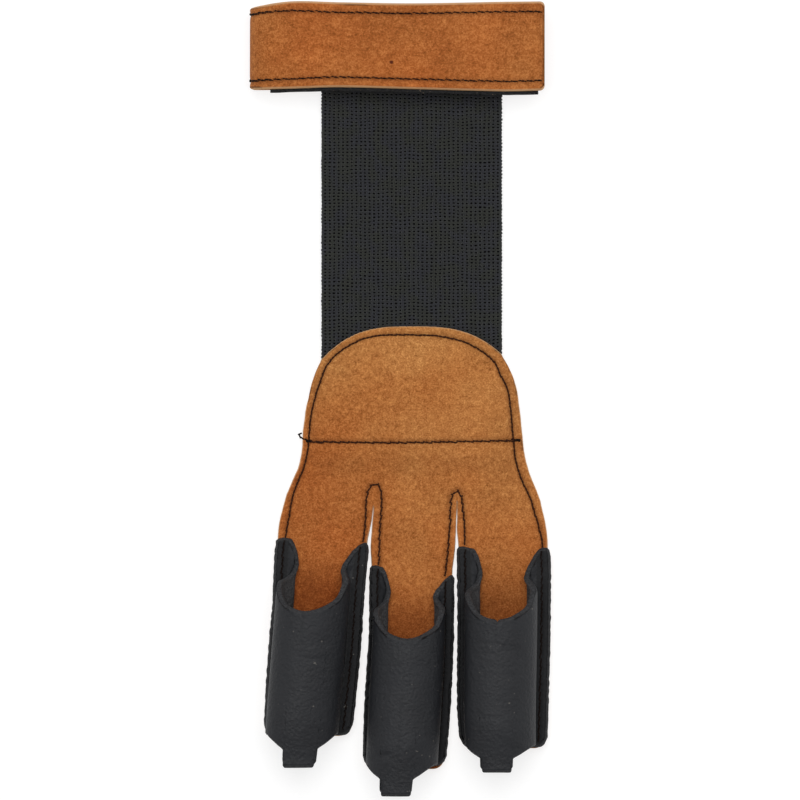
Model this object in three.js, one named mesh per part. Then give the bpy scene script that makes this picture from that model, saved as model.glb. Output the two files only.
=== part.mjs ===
// A three-finger archery glove, lying flat with the finger stalls upwards.
// X runs across the hand, Y from the fingertips to the wrist, Z up from the table. Millimetres.
// The origin is on the table, under the middle of the glove.
import * as THREE from "three";

const { clamp, degToRad, lerp, smoothstep } = THREE.MathUtils;

// Clearance between pieces that are sewn face to face.
const seamGap = 0.3;

// Wrist strap: one suede strip, wound into a flat loop and closed on itself.
const strapSpan = 83.2;
const strapWidth = 25.4;
const strapThick = 1.5;
const strapFromCentre = -0.8;
const wristRoom = 5.6;
const flapOverhang = 1.3;
const flapCorner = 1.4;
const innerEndFromFold = 6.2;

// Hook-and-loop tape under the outer flap. Its ends stay inside the flap's end and the fold.
const tapeFromFlapEnd = 1.8;
const tapeFromFold = 5.8;
const tapeWidth = 24.4;
const tapeThick = 1.2;
const tapeShows = 1.0;

// Elastic webbing between the strap and the hand piece.
const elasticWidth = 50.8;
const elasticShown = 66.1;
const elasticThick = 1.4;
const elasticPastSeam = 2.5;
const elasticInStrap = 22;

// Hand piece: two layers of suede with one outline.
const suedeThick = 1.3;
const handFromCentre = 3.3;
const archRiseLeft = 9.3;
const archRiseRight = 7.9;
const archToSeam = 32.3;
const archToSlits = 50.4;
const slitStep = 1.3;
const suedeRamp = 3.5;
const suedeInset = 0.6;
const suedePastLeather = 0.8;

// Fingers, measured on the middle one: the suede's width over both flanges, and its length from
// the slits to the fingertip.
const fingerWidth = 24.1;
const fingerLength = 74.5;
const middleRootX = 1.05;

// Finger stalls: black leather bent into tubes.
const leatherThick = 1.6;
const stallHeight = 15.5;
const domeWidth = 20.4;
const mouthDepth = 20.3;
const sideBend = 1.6;
const footShare = 0.81;
const cornerRadius = 3;
const tabLength = 8.3;
const tabWidth = 9.2;
const tabShoulder = 8;
const tabDroop = 1.6;
const droopFrom = 0.9;

// The ears at the mouth stand open at an angle, and close to the tube between two depths, given
// as shares of the mouth's depth.
const earAngle = 30;
const earsOpenTo = 0.22;
const earsClosedAt = 0.64;

// Each finger, in shares of the sizes above. Width, length, dome and tabReach are shares of the
// middle finger's. The tip, the dome's crown and the tab lean to the right by shares of the
// width. The ears start at a share of the length, the right one lower by a share of the mouth.
const fingerShares = [
  {
    name: "stall_left", width: 1.087, length: 0.875, dome: 1.01, tabReach: 1.07,
    tipShift: -0.237, lean: -0.145, tabShift: 0.075, earTop: 0.125, earSkew: 0.074,
  },
  {
    name: "stall_middle", width: 1, length: 1, dome: 1, tabReach: 1,
    tipShift: -0.133, lean: -0.062, tabShift: -0.029, earTop: 0.238, earSkew: 0.148,
  },
  {
    name: "stall_right", width: 1.091, length: 0.938, dome: 1, tabReach: 0.83,
    tipShift: 0.046, lean: -0.083, tabShift: -0.012, earTop: 0.176, earSkew: 0.015,
  },
];
const fingers = fingerShares.map((row) => ({
  name: row.name,
  width: row.width * fingerWidth,
  length: row.length * fingerLength,
  dome: row.dome * domeWidth,
  tabReach: row.tabReach * tabLength,
  tipShift: row.tipShift * fingerWidth,
  lean: row.lean * fingerWidth,
  tabShift: row.tabShift * fingerWidth,
  earTop: row.earTop * fingerLength,
  earSkew: row.earSkew * mouthDepth,
}));

// Edges of each finger to the left and right of its axis, as shares of its width.
const fingerEdges = [
  [
    { along: 0, left: 0.486, right: 0.486 },
    { along: 0.14, left: 0.535, right: 0.478 },
    { along: 0.42, left: 0.518, right: 0.478 },
    { along: 0.66, left: 0.516, right: 0.488 },
    { along: 1, left: 0.49, right: 0.47 },
  ],
  [
    { along: 0, left: 0.49, right: 0.49 },
    { along: 0.25, left: 0.505, right: 0.495 },
    { along: 0.5, left: 0.482, right: 0.52 },
    { along: 0.75, left: 0.499, right: 0.52 },
    { along: 1, left: 0.49, right: 0.49 },
  ],
  [
    { along: 0, left: 0.447, right: 0.447 },
    { along: 0.2, left: 0.461, right: 0.541 },
    { along: 0.45, left: 0.466, right: 0.541 },
    { along: 0.83, left: 0.485, right: 0.503 },
    { along: 1, left: 0.46, right: 0.48 },
  ],
];

// Sides of the palm from its shoulders to the slits: how far they have opened out, as shares of
// the way from the elastic's edge to the outer side of the fingers.
const palmSides = [
  { down: 0, left: 0, right: 0 },
  { down: 0.1, left: 0.175, right: 0.19 },
  { down: 0.22, left: 0.305, right: 0.375 },
  { down: 0.36, left: 0.43, right: 0.46 },
  { down: 0.5, left: 0.49, right: 0.515 },
  { down: 0.62, left: 0.52, right: 0.565 },
  { down: 0.72, left: 0.585, right: 0.62 },
  { down: 0.82, left: 0.74, right: 0.73 },
  { down: 0.92, left: 0.905, right: 0.88 },
  { down: 1, left: 1, right: 1 },
];

// Edges of the wrist strap along its span, as shares of its width that are missing there.
const strapEdges = [
  { at: 0, top: 0.065, bottom: 0.02 },
  { at: 0.14, top: 0, bottom: 0.03 },
  { at: 0.3, top: 0.01, bottom: 0.045 },
  { at: 0.55, top: 0.022, bottom: 0.025 },
  { at: 0.86, top: 0.005, bottom: 0 },
  { at: 1, top: 0, bottom: 0.01 },
];

// Mouth of a stall: how far down the cut edge lies, as a share of the mouth's depth. Across the
// leather, 3 is the outer edge, 2 the end of the flange, 1 the end of the bend and 0 the crown.
// The last row lies past the crown, so that the edge runs level over it.
const leftMouth = [
  { across: 3, down: 0 },
  { across: 2, down: 0.02 },
  { across: 1.55, down: 0.11 },
  { across: 1.1, down: 0.33 },
  { across: 0.9, down: 0.53 },
  { across: 0.68, down: 0.61 },
  { across: 0.5, down: 0.74 },
  { across: 0.3, down: 0.915 },
  { across: 0.14, down: 0.98 },
  { across: 0, down: 1 },
  { across: -0.14, down: 0.98 },
];
const rightMouth = [
  { across: 3, down: 0 },
  { across: 2.4, down: 0.01 },
  { across: 1.55, down: 0.21 },
  { across: 1.1, down: 0.34 },
  { across: 0.8, down: 0.47 },
  { across: 0.6, down: 0.62 },
  { across: 0.48, down: 0.8 },
  { across: 0.3, down: 0.915 },
  { across: 0.14, down: 0.98 },
  { across: 0, down: 1 },
  { across: -0.14, down: 0.98 },
];

// Shoulders of a stall's tip: how far out from the tab, as a share of the shoulder, and how far
// the leather reaches there past the suede, as a share of the tab.
const tabShoulders = [
  { out: 0, reach: 0.52 },
  { out: 0.1, reach: 0.41 },
  { out: 0.35, reach: 0.28 },
  { out: 0.65, reach: 0.13 },
  { out: 1, reach: 0 },
];

// Heights of the layers, each at the middle of its thickness.
const handBackZ = suedeThick / 2;
const handElasticZ = suedeThick + seamGap + elasticThick / 2;
const handFrontZ = suedeThick * 1.5 + seamGap;
const overElastic = elasticThick + seamGap;
const stallZ = 2 * (suedeThick + seamGap) + leatherThick / 2;
const strapBackZ = strapThick / 2;
const strapElasticZ = strapThick + seamGap + elasticThick / 2;
const strapInnerZ = strapElasticZ + elasticThick / 2 + wristRoom + strapThick / 2;
const tapeZ = strapInnerZ + strapThick / 2 + seamGap + tapeThick / 2;
const flapZ = tapeZ + tapeThick / 2 + seamGap + strapThick / 2;

// Places along Y, with the middle of the whole length at zero.
const reach = (finger) => finger.length + finger.tabReach;
const handLength = archToSlits - slitStep / 2 + reach(fingers[1]);
const gloveLength = strapWidth + elasticShown + handLength;
const strapTopY = gloveLength / 2;
const strapBottomY = strapTopY - strapWidth;
const archY = strapBottomY - elasticShown;
const elasticEnd = archToSeam + elasticPastSeam;

// A smooth curve through one column of a table, read by another column.
function tableCurve(rows, key, column) {
  const last = rows.length - 1;
  const slope = (i) => {
    const before = rows[Math.max(i - 1, 0)];
    const after = rows[Math.min(i + 1, last)];
    return (after[column] - before[column]) / (after[key] - before[key]);
  };
  return (place) => {
    const ends = [rows[0][key], rows[last][key]];
    const x = clamp(place, Math.min(...ends), Math.max(...ends));
    const way = Math.sign(ends[1] - ends[0]);
    let i = 0;
    while (i < last - 1 && (x - rows[i + 1][key]) * way > 0) i += 1;
    const span = rows[i + 1][key] - rows[i][key];
    const t = (x - rows[i][key]) / span;
    const straight = lerp(rows[i][column], rows[i + 1][column], t * t * (3 - 2 * t));
    return straight + span * t * (1 - t) * (slope(i) * (1 - t) - slope(i + 1) * t);
  };
}

// How far a round corner cuts in, at a distance from the end of the edge.
function cornerCut(distance, radius) {
  const left = radius - clamp(distance, 0, radius);
  return radius - Math.sqrt(radius * radius - left * left);
}

// A sheet of leather, cloth or webbing as a closed solid: its middle surface is given by points
// and triangles, half the thickness goes to each side, and its cut edges get walls.
function sheetSolid(name, material, points, triangles, thickness) {
  const normals = points.map(() => new THREE.Vector3());
  for (const [a, b, c] of triangles) {
    const ab = new THREE.Vector3().subVectors(points[b], points[a]);
    const ac = new THREE.Vector3().subVectors(points[c], points[a]);
    const face = ab.cross(ac);
    for (const corner of [a, b, c]) normals[corner].add(face);
  }
  const positions = [];
  for (const side of [0.5, -0.5]) {
    points.forEach((point, i) => {
      const offset = normals[i].clone().normalize().multiplyScalar(side * thickness);
      positions.push(...offset.add(point).toArray());
    });
  }
  const under = points.length;
  const index = [];
  const edges = new Map();
  for (const [a, b, c] of triangles) {
    index.push(a, b, c, c + under, b + under, a + under);
    for (const [from, to] of [[a, b], [b, c], [c, a]]) edges.set(`${from},${to}`, [from, to]);
  }
  for (const [from, to] of edges.values()) {
    if (edges.has(`${to},${from}`)) continue;
    index.push(from + under, to + under, to, from + under, to, from);
  }
  const geometry = new THREE.BufferGeometry();
  geometry.setAttribute("position", new THREE.Float32BufferAttribute(positions, 3));
  geometry.setIndex(index);
  geometry.computeVertexNormals();
  const mesh = new THREE.Mesh(geometry, material);
  mesh.name = name;
  return mesh;
}

// A sheet on a plain grid: `place` gives the point for a column and a row.
function gridSheet(name, material, columns, rows, thickness, place) {
  const points = [];
  const triangles = [];
  columns.forEach((column, c) => {
    rows.forEach((row, r) => {
      points.push(place(column, row));
      if (c === 0 || r === 0) return;
      const here = c * rows.length + r;
      const left = here - rows.length;
      triangles.push([left - 1, left, here], [left - 1, here, here - 1]);
    });
  });
  return sheetSolid(name, material, points, triangles, thickness);
}

// Fills the band between two rows of points that both run from left to right.
function zipRows(upper, lower, points, triangles) {
  let i = 0;
  let j = 0;
  while (i < upper.length - 1 || j < lower.length - 1) {
    const nextUpper = i < upper.length - 1 ? points[upper[i + 1]].x : Infinity;
    const nextLower = j < lower.length - 1 ? points[lower[j + 1]].x : Infinity;
    if (nextLower <= nextUpper) {
      triangles.push([upper[i], lower[j], lower[j + 1]]);
      j += 1;
    } else {
      triangles.push([upper[i], lower[j], upper[i + 1]]);
      i += 1;
    }
  }
}

const share = (count) => Array.from({ length: count + 1 }, (_, i) => i / count);

const suede = new THREE.MeshStandardMaterial({ color: 0xb0703c, roughness: 0.95, metalness: 0 });
const blackLeather = new THREE.MeshStandardMaterial({ color: 0x26272a, roughness: 0.5, metalness: 0 });
const webbing = new THREE.MeshStandardMaterial({ color: 0x232525, roughness: 0.85, metalness: 0 });
const tapeCloth = new THREE.MeshStandardMaterial({ color: 0x151515, roughness: 0.9, metalness: 0 });

// Wrist strap. The strip starts at the cut end of the outer flap on the right, turns down at the
// left, comes back along the table, turns up at the right and ends under the flap.
const strapLeftX = strapFromCentre - strapSpan / 2;
const strapRightX = strapFromCentre + strapSpan / 2;
const strapMissingTop = tableCurve(strapEdges, "at", "top");
const strapMissingBottom = tableCurve(strapEdges, "at", "bottom");

function strapRoute() {
  const leftRadius = (flapZ - strapBackZ) / 2;
  const rightRadius = (strapInnerZ - strapBackZ) / 2;
  const leftTurnX = strapLeftX + strapThick / 2 + leftRadius;
  const rightTurnX = strapRightX - flapOverhang - strapThick / 2 - rightRadius;
  const turnSteps = 10;
  const route = [];
  for (const back of [0, 0.2, 0.6, 1]) {
    const cut = cornerCut(back * flapCorner, flapCorner);
    route.push({ x: strapRightX - back * flapCorner, z: flapZ, cut });
  }
  for (const t of share(8).slice(1, -1)) {
    route.push({ x: lerp(strapRightX - flapCorner, leftTurnX, t), z: flapZ });
  }
  for (const t of share(turnSteps)) {
    const angle = Math.PI * (0.5 + t);
    const z = strapBackZ + leftRadius * (1 + Math.sin(angle));
    route.push({ x: leftTurnX + leftRadius * Math.cos(angle), z });
  }
  for (const t of share(8).slice(1, -1)) {
    route.push({ x: lerp(leftTurnX, rightTurnX, t), z: strapBackZ });
  }
  for (const t of share(turnSteps)) {
    const angle = Math.PI * (t - 0.5);
    const z = strapBackZ + rightRadius * (1 + Math.sin(angle));
    route.push({ x: rightTurnX + rightRadius * Math.cos(angle), z });
  }
  for (const t of share(8).slice(1)) {
    route.push({ x: lerp(rightTurnX, strapLeftX + innerEndFromFold, t), z: strapInnerZ });
  }
  return route;
}

function strapEdgesY(x) {
  const at = (x - strapLeftX) / strapSpan;
  return {
    top: strapTopY - strapMissingTop(at) * strapWidth,
    bottom: strapBottomY + strapMissingBottom(at) * strapWidth,
  };
}

const wristStrap = gridSheet(
  "wrist_strap", suede, strapRoute(), [0, 0.5, 1], strapThick,
  ({ x, z, cut = 0 }, t) => {
    const { top, bottom } = strapEdgesY(x);
    return new THREE.Vector3(x, lerp(bottom + cut, top - cut, t), z);
  },
);

// Tape: a flat strip under the flap that shows a little below the strap's lower edge.
const strapTape = gridSheet(
  "strap_tape", tapeCloth, share(8), [0, 1], tapeThick,
  (s, t) => {
    const x = lerp(strapRightX - tapeFromFlapEnd, strapLeftX + tapeFromFold, s);
    const y = strapEdgesY(x).bottom - tapeShows + t * tapeWidth;
    return new THREE.Vector3(x, y, tapeZ);
  },
);

// Elastic: flat webbing. Its ends are sewn to the strap's back half and between the suede layers.
const elasticTopY = strapBottomY + elasticInStrap;
const elasticBottomY = archY - elasticEnd;
const elasticRows = [
  elasticTopY, strapBottomY, lerp(strapBottomY, archY, 0.33), lerp(strapBottomY, archY, 0.67), archY,
  elasticBottomY,
];
const elasticBand = gridSheet(
  "elastic_band", webbing, share(4), elasticRows, elasticThick,
  (s, y) => {
    const z = lerp(handElasticZ, strapElasticZ, smoothstep(y, archY, strapBottomY));
    return new THREE.Vector3(handFromCentre + (s - 0.5) * elasticWidth, y, z);
  },
);

// Fingers: the axis of each, measured across from the middle of the hand, at the slits.
const edgeCurve = fingerEdges.map((rows) => ({
  left: tableCurve(rows, "along", "left"),
  right: tableCurve(rows, "along", "right"),
}));
const rootLeft = (i) => fingerEdges[i][0].left * fingers[i].width;
const rootRight = (i) => fingerEdges[i][0].right * fingers[i].width;
const rootX = [
  middleRootX - rootLeft(1) - rootRight(0),
  middleRootX,
  middleRootX + rootRight(1) + rootLeft(2),
];
const slitX = [rootX[0] + rootRight(0), rootX[1] + rootRight(1)];
const handLeftX = rootX[0] - rootLeft(0);
const handRightX = rootX[2] + rootRight(2);
const rootDown = [archToSlits, archToSlits - slitStep / 2, archToSlits - slitStep];

// Left and right edge of a finger's leather, at a distance down from the slits.
function fingerSides(i, down) {
  const finger = fingers[i];
  const along = down / finger.length;
  const axis = rootX[i] + finger.tipShift * along;
  return {
    left: axis - edgeCurve[i].left(along) * finger.width,
    right: axis + edgeCurve[i].right(along) * finger.width,
  };
}

// How far down the slits' line lies at a place across the hand.
function slitLine(x) {
  return archToSlits - slitStep * smoothstep(x, slitX[0], slitX[1]);
}

// Left and right edge of the palm at a distance down from the top of its arch. The arch is a
// cubic curve, as wide as the elastic.
const sideLeft = tableCurve(palmSides, "down", "left");
const sideRight = tableCurve(palmSides, "down", "right");

function palmLeft(down) {
  if (down < archRiseLeft) return -Math.cbrt(down / archRiseLeft) * elasticWidth / 2;
  const opened = sideLeft((down - archRiseLeft) / (slitLine(handLeftX) - archRiseLeft));
  return lerp(-elasticWidth / 2, handLeftX, opened);
}

function palmRight(down) {
  if (down < archRiseRight) return Math.cbrt(down / archRiseRight) * elasticWidth / 2;
  const opened = sideRight((down - archRiseRight) / (slitLine(handRightX) - archRiseRight));
  return lerp(elasticWidth / 2, handRightX, opened);
}

// The outline of the hand piece as rows of points, filled with triangles: the palm in rows from
// the arch to the slits, and below it three fingers whose first row is the slits' line.
function handPattern() {
  const points = [];
  const triangles = [];
  const rampIn = elasticWidth / 2 + seamGap;
  const rampOut = rampIn + suedeRamp;
  const lines = [
    -rampOut, -rampIn, lerp(-rampIn, slitX[0], 0.5), slitX[0], lerp(slitX[0], slitX[1], 0.5),
    slitX[1], lerp(slitX[1], rampIn, 0.5), rampIn, rampOut,
  ];
  const addRow = (left, right, inner, downAt) => {
    const inside = inner.filter((x) => x > left + seamGap && x < right - seamGap);
    const xs = [left, ...inside, right];
    return xs.map((x) => points.push(new THREE.Vector2(x, downAt(x))) - 1);
  };
  const archLevels = share(6).slice(1).map((t) => archRiseRight * t ** 3);
  const sideLevels = share(9).slice(1, -1).map((t) => lerp(archRiseLeft, archToSlits - slitStep, t));
  const levels = [...archLevels, archRiseLeft, ...sideLevels, elasticEnd + seamGap]
    .sort((a, b) => a - b)
    .filter((level, i, all) => i === 0 || level - all[i - 1] > 0.05);
  let above = [points.push(new THREE.Vector2(0, 0)) - 1];
  for (const level of levels) {
    const row = addRow(palmLeft(level), palmRight(level), lines, () => level);
    zipRows(above, row, points, triangles);
    above = row;
  }
  const root = addRow(handLeftX, handRightX, lines, slitLine);
  zipRows(above, root, points, triangles);
  const at = (x) => root.find((number) => Math.abs(points[number].x - x) < 1e-6);
  const breaks = [root[0], at(slitX[0]), at(slitX[1]), root[root.length - 1]];
  fingers.forEach((finger, i) => {
    const first = root.slice(root.indexOf(breaks[i]), root.indexOf(breaks[i + 1]) + 1);
    const from = points[first[0]].x;
    const width = points[first[first.length - 1]].x - from;
    const shares = first.map((number) => (points[number].x - from) / width);
    const end = finger.length + suedePastLeather;
    const body = [0.06, 0.15, 0.3, 0.45, 0.6, 0.75, 0.88].map((t) => t * finger.length);
    const round = [1, 0.55, 0.2, 0].map((t) => end - t * cornerRadius);
    let upper = first;
    for (const down of [...body, ...round]) {
      const sides = fingerSides(i, down);
      const inset = suedeInset * smoothstep(down, 0, finger.earTop);
      const cut = cornerCut(end - down, cornerRadius) + inset;
      const row = shares.map((t) => {
        const x = lerp(sides.left + cut, sides.right - cut, t);
        return points.push(new THREE.Vector2(x, rootDown[i] + down)) - 1;
      });
      zipRows(upper, row, points, triangles);
      upper = row;
    }
  });
  return { points, triangles };
}

const pattern = handPattern();

// How far the front layer is lifted by the elastic under it, from 0 to 1.
function liftAt(x, down) {
  const aside = Math.max(Math.abs(x) - elasticWidth / 2 - seamGap, 0);
  const below = Math.max(down - elasticEnd - seamGap, 0);
  return 1 - smoothstep(Math.hypot(aside, below), 0, suedeRamp);
}

const handFront = sheetSolid(
  "hand_front", suede,
  pattern.points.map(({ x, y: down }) => (
    new THREE.Vector3(handFromCentre + x, archY - down, handFrontZ + overElastic * liftAt(x, down))
  )),
  pattern.triangles, suedeThick,
);
const handBack = sheetSolid(
  "hand_back", suede,
  pattern.points.map(({ x, y: down }) => new THREE.Vector3(handFromCentre + x, archY - down, handBackZ)),
  pattern.triangles, suedeThick,
);

// A stall's leather: a flange, a small bend, the dome, a bend and a flange. `across` runs from
// -3 at the left edge over 0 at the crown to 3 at the right edge, `down` from the slits.
function stallShape(i) {
  const finger = fingers[i];
  const radius = (finger.dome - leatherThick) / 2;
  const halfChord = Math.min((radius + sideBend) * footShare, finger.width / 2 - leatherThick);
  const turn = Math.PI - Math.asin(halfChord / (radius + sideBend));
  const bendLength = turn * sideBend;
  const domeLength = turn * radius;
  const fullRise = (radius + sideBend) * (1 - Math.cos(turn));
  const squash = (stallHeight - leatherThick) / fullRise;
  const flange = finger.width / 2 - halfChord;
  const opened = degToRad(earAngle);
  const leftEdge = tableCurve(leftMouth, "across", "down");
  const rightEdge = tableCurve(rightMouth, "across", "down");
  const shoulder = tableCurve(tabShoulders, "out", "reach");

  // The closed tube, from the end of a flange inwards and up, on either side.
  const closed = (a) => {
    if (a >= 1) {
      const angle = (2 - a) * turn;
      return { inwards: sideBend * Math.sin(angle), up: sideBend * (1 - Math.cos(angle)) };
    }
    const angle = a * turn;
    return {
      inwards: sideBend * Math.sin(turn) + radius * (Math.sin(turn) - Math.sin(angle)),
      up: sideBend * (1 - Math.cos(turn)) + radius * (Math.cos(angle) - Math.cos(turn)),
    };
  };

  const start = (across) => {
    const edge = across < 0 ? leftEdge : rightEdge;
    const skew = finger.earSkew * smoothstep(across, -1, 2);
    return finger.earTop + skew + (mouthDepth - skew) * edge(Math.abs(across));
  };

  const end = (across) => {
    const side = Math.abs(across);
    const aside = Math.abs(across * domeLength - finger.tabShift) - tabWidth / 2;
    if (side > 2) return finger.length - cornerCut((3 - side) * flange, cornerRadius);
    if (side > 1) return finger.length;
    if (aside <= 0) return finger.length + finger.tabReach;
    return finger.length + finger.tabReach * shoulder(aside / tabShoulder);
  };

  const place = (across, down) => {
    const side = Math.abs(across);
    const sides = fingerSides(i, down);
    const sign = across < 0 ? 1 : -1;
    const edgeX = across < 0 ? sides.left : sides.right;
    if (side >= 2) {
      return new THREE.Vector3(
        handFromCentre + edgeX + sign * (3 - side) * flange,
        archY - rootDown[i] - down,
        stallZ,
      );
    }
    const tube = closed(side);
    const arm = side >= 1 ? (2 - side) * bendLength : bendLength + (1 - side) * domeLength;
    const depth = (down - finger.earTop) / mouthDepth;
    const shut = smoothstep(depth, earsOpenTo, earsClosedAt);
    const up = lerp(arm * Math.sin(opened), tube.up * squash, shut);
    const inwards = lerp(arm * Math.cos(opened), tube.inwards, shut);
    const level = tube.up / fullRise;
    const droop = tabDroop * level * smoothstep(down, finger.length * droopFrom, reach(finger));
    const wider = (sides.right - sides.left - finger.width) / 2;
    const x = edgeX + sign * (flange + inwards + wider * (1 - side / 2));
    return new THREE.Vector3(
      handFromCentre + x + finger.lean * level * shut,
      archY - rootDown[i] - down,
      stallZ + up - droop,
    );
  };

  return { start, end, place, domeLength };
}

function stall(i) {
  const finger = fingers[i];
  const shape = stallShape(i);
  const fixed = [3, 2.5, 2, 1.66, 1.33, 1, 0.9, 0.8, 0.68, 0.59, 0.5, 0.4, 0.3];
  const across = [...fixed.map((a) => -a), 0, ...fixed];
  for (const side of [-1, 1]) {
    for (const { out } of tabShoulders) {
      const aside = finger.tabShift + side * (tabWidth / 2 + out * tabShoulder);
      across.push(aside / shape.domeLength);
    }
  }
  const columns = across
    .sort((a, b) => a - b)
    .filter((a, k, all) => k === 0 || a - all[k - 1] > 0.01);
  const rows = [0, 0.05, 0.12, 0.22, 0.34, 0.5, 0.66, 0.8, 0.9, 0.96, 1];
  return gridSheet(
    finger.name, blackLeather, columns, rows, leatherThick,
    (a, t) => shape.place(a, lerp(shape.start(a), shape.end(a), t)),
  );
}

const glove = new THREE.Group();
glove.add(wristStrap, strapTape, elasticBand, handFront, handBack);
fingers.forEach((_, i) => glove.add(stall(i)));

export default glove;
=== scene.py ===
import math

import bpy
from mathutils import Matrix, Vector, noise
from mathutils.kdtree import KDTree


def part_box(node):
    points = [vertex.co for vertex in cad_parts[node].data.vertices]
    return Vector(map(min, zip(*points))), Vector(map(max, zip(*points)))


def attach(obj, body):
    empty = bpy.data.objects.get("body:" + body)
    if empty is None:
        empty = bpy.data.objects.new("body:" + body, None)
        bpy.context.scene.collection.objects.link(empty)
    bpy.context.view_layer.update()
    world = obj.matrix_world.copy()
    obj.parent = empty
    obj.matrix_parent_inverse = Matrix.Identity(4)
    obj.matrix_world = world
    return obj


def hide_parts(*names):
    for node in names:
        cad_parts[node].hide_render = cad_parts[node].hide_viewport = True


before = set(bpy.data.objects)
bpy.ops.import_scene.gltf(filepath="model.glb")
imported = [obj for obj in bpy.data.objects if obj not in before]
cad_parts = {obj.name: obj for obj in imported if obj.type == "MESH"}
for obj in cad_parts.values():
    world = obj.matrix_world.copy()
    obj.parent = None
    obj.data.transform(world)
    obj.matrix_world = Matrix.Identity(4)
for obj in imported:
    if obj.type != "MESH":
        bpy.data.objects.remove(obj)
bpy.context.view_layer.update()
scene = bpy.context.scene
mm = 0.001


# Back layer of the hand piece.
# Brown suede, cut in one pattern to a palm and three fingers, with its nap outwards. It lies on
# the table, and the front layer is sewn to it along its edges and round the slits.
def table(columns, *rows):
    """A short table whose rows are read by the names of their columns."""
    return [dict(zip(columns.split(), row)) for row in rows]


def lerp(a, b, t):
    return a + (b - a) * t


def smoothstep(x, low, high):
    t = min(max((x - low) / (high - low), 0.0), 1.0)
    return t * t * (3 - 2 * t)


def shares(count):
    return [k / count for k in range(count + 1)]


def table_curve(rows, key, column):
    """A smooth curve through one column of a table, read by another column."""
    last = len(rows) - 1

    def slope(i):
        before = rows[max(i - 1, 0)]
        after = rows[min(i + 1, last)]
        return (after[column] - before[column]) / (after[key] - before[key])

    def value(place):
        low, high = sorted((rows[0][key], rows[last][key]))
        x = min(max(place, low), high)
        way = 1 if rows[last][key] > rows[0][key] else -1
        i = 0
        while i < last - 1 and (x - rows[i + 1][key]) * way > 0:
            i += 1
        span = rows[i + 1][key] - rows[i][key]
        t = (x - rows[i][key]) / span
        straight = lerp(rows[i][column], rows[i + 1][column], t * t * (3 - 2 * t))
        return straight + span * t * (1 - t) * (slope(i) * (1 - t) - slope(i + 1) * t)

    return value


elastic_low, elastic_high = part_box("elastic_band")
back_low, back_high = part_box("hand_back")
elastic_width = elastic_high.x - elastic_low.x
hand_x = (elastic_low.x + elastic_high.x) / 2
arch_y = back_high.y
suede_thick = back_high.z - back_low.z
seam_gap = 0.3 * mm
elastic_thick = 1.4 * mm

arch_rise_left = 9.3 * mm
arch_rise_right = 7.9 * mm
arch_to_seam = 32.4 * mm
arch_to_slits = 50.4 * mm
elastic_end = 34.8 * mm
slit_step = 1.3 * mm
suede_ramp = 3.5 * mm
suede_inset = 0.6 * mm
suede_past_leather = [0.2 * mm, 0.9 * mm, 0.3 * mm]
corner_radius = 3 * mm
finger_width = 24.1 * mm
finger_length = 74.5 * mm
middle_root_x = 1.05 * mm
tab_length = 8.3 * mm
mouth_depth = 20.3 * mm
dome_width = 20.4 * mm

finger_shares = table(
    "name width length dome tab_reach tip_shift lean tab_shift ear_top ear_skew",
    ("stall_left", 1.087, 0.875, 1.01, 1.07, -0.237, -0.145, 0.075, 0.125, 0.074),
    ("stall_middle", 1, 1, 1, 1, -0.133, -0.062, -0.029, 0.238, 0.148),
    ("stall_right", 1.091, 0.938, 1, 0.83, 0.046, -0.083, -0.012, 0.176, 0.015),
)

# What each column is a share of; the name stays as it is.
share_of = {
    "name": 1, "width": finger_width, "length": finger_length, "dome": dome_width,
    "tab_reach": tab_length, "tip_shift": finger_width, "lean": finger_width,
    "tab_shift": finger_width, "ear_top": finger_length, "ear_skew": mouth_depth,
}
fingers = [{key: row[key] * share_of[key] for key in row} for row in finger_shares]

# Edges of each finger beside its axis, as shares of its width.
finger_edges = [
    table(
        "along left right",
        (0, 0.486, 0.486), (0.14, 0.535, 0.478), (0.42, 0.518, 0.478),
        (0.66, 0.516, 0.488), (1, 0.49, 0.47),
    ),
    table(
        "along left right",
        (0, 0.49, 0.49), (0.25, 0.505, 0.495), (0.5, 0.482, 0.52),
        (0.75, 0.499, 0.52), (1, 0.49, 0.49),
    ),
    table(
        "along left right",
        (0, 0.447, 0.447), (0.2, 0.461, 0.541), (0.45, 0.466, 0.541),
        (0.83, 0.485, 0.503), (1, 0.46, 0.48),
    ),
]

# How far the palm has opened out from the elastic's edge to the outer side of the fingers.
palm_sides = table(
    "down left right",
    (0, 0, 0), (0.1, 0.175, 0.19), (0.22, 0.305, 0.375), (0.36, 0.43, 0.46),
    (0.5, 0.49, 0.515), (0.62, 0.52, 0.565), (0.72, 0.585, 0.62), (0.82, 0.74, 0.73),
    (0.92, 0.905, 0.88), (1, 1, 1),
)

edge_left = [table_curve(rows, "along", "left") for rows in finger_edges]
edge_right = [table_curve(rows, "along", "right") for rows in finger_edges]
root_left = [edge_left[i](0) * fingers[i]["width"] for i in range(3)]
root_right = [edge_right[i](0) * fingers[i]["width"] for i in range(3)]
root_x = [
    middle_root_x - root_left[1] - root_right[0],
    middle_root_x,
    middle_root_x + root_right[1] + root_left[2],
]
slit_x = [root_x[0] + root_right[0], root_x[1] + root_right[1]]
hand_left = root_x[0] - root_left[0]
hand_right = root_x[2] + root_right[2]
root_down = [arch_to_slits, arch_to_slits - slit_step / 2, arch_to_slits - slit_step]
side_left = table_curve(palm_sides, "down", "left")
side_right = table_curve(palm_sides, "down", "right")


def finger_sides(i, down):
    """Left and right edge of a finger's leather, at a distance down from the slits."""
    finger = fingers[i]
    along = down / finger["length"]
    axis = root_x[i] + finger["tip_shift"] * along
    return (
        axis - edge_left[i](along) * finger["width"],
        axis + edge_right[i](along) * finger["width"],
    )


def slit_line(x):
    return arch_to_slits - slit_step * smoothstep(x, slit_x[0], slit_x[1])


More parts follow.
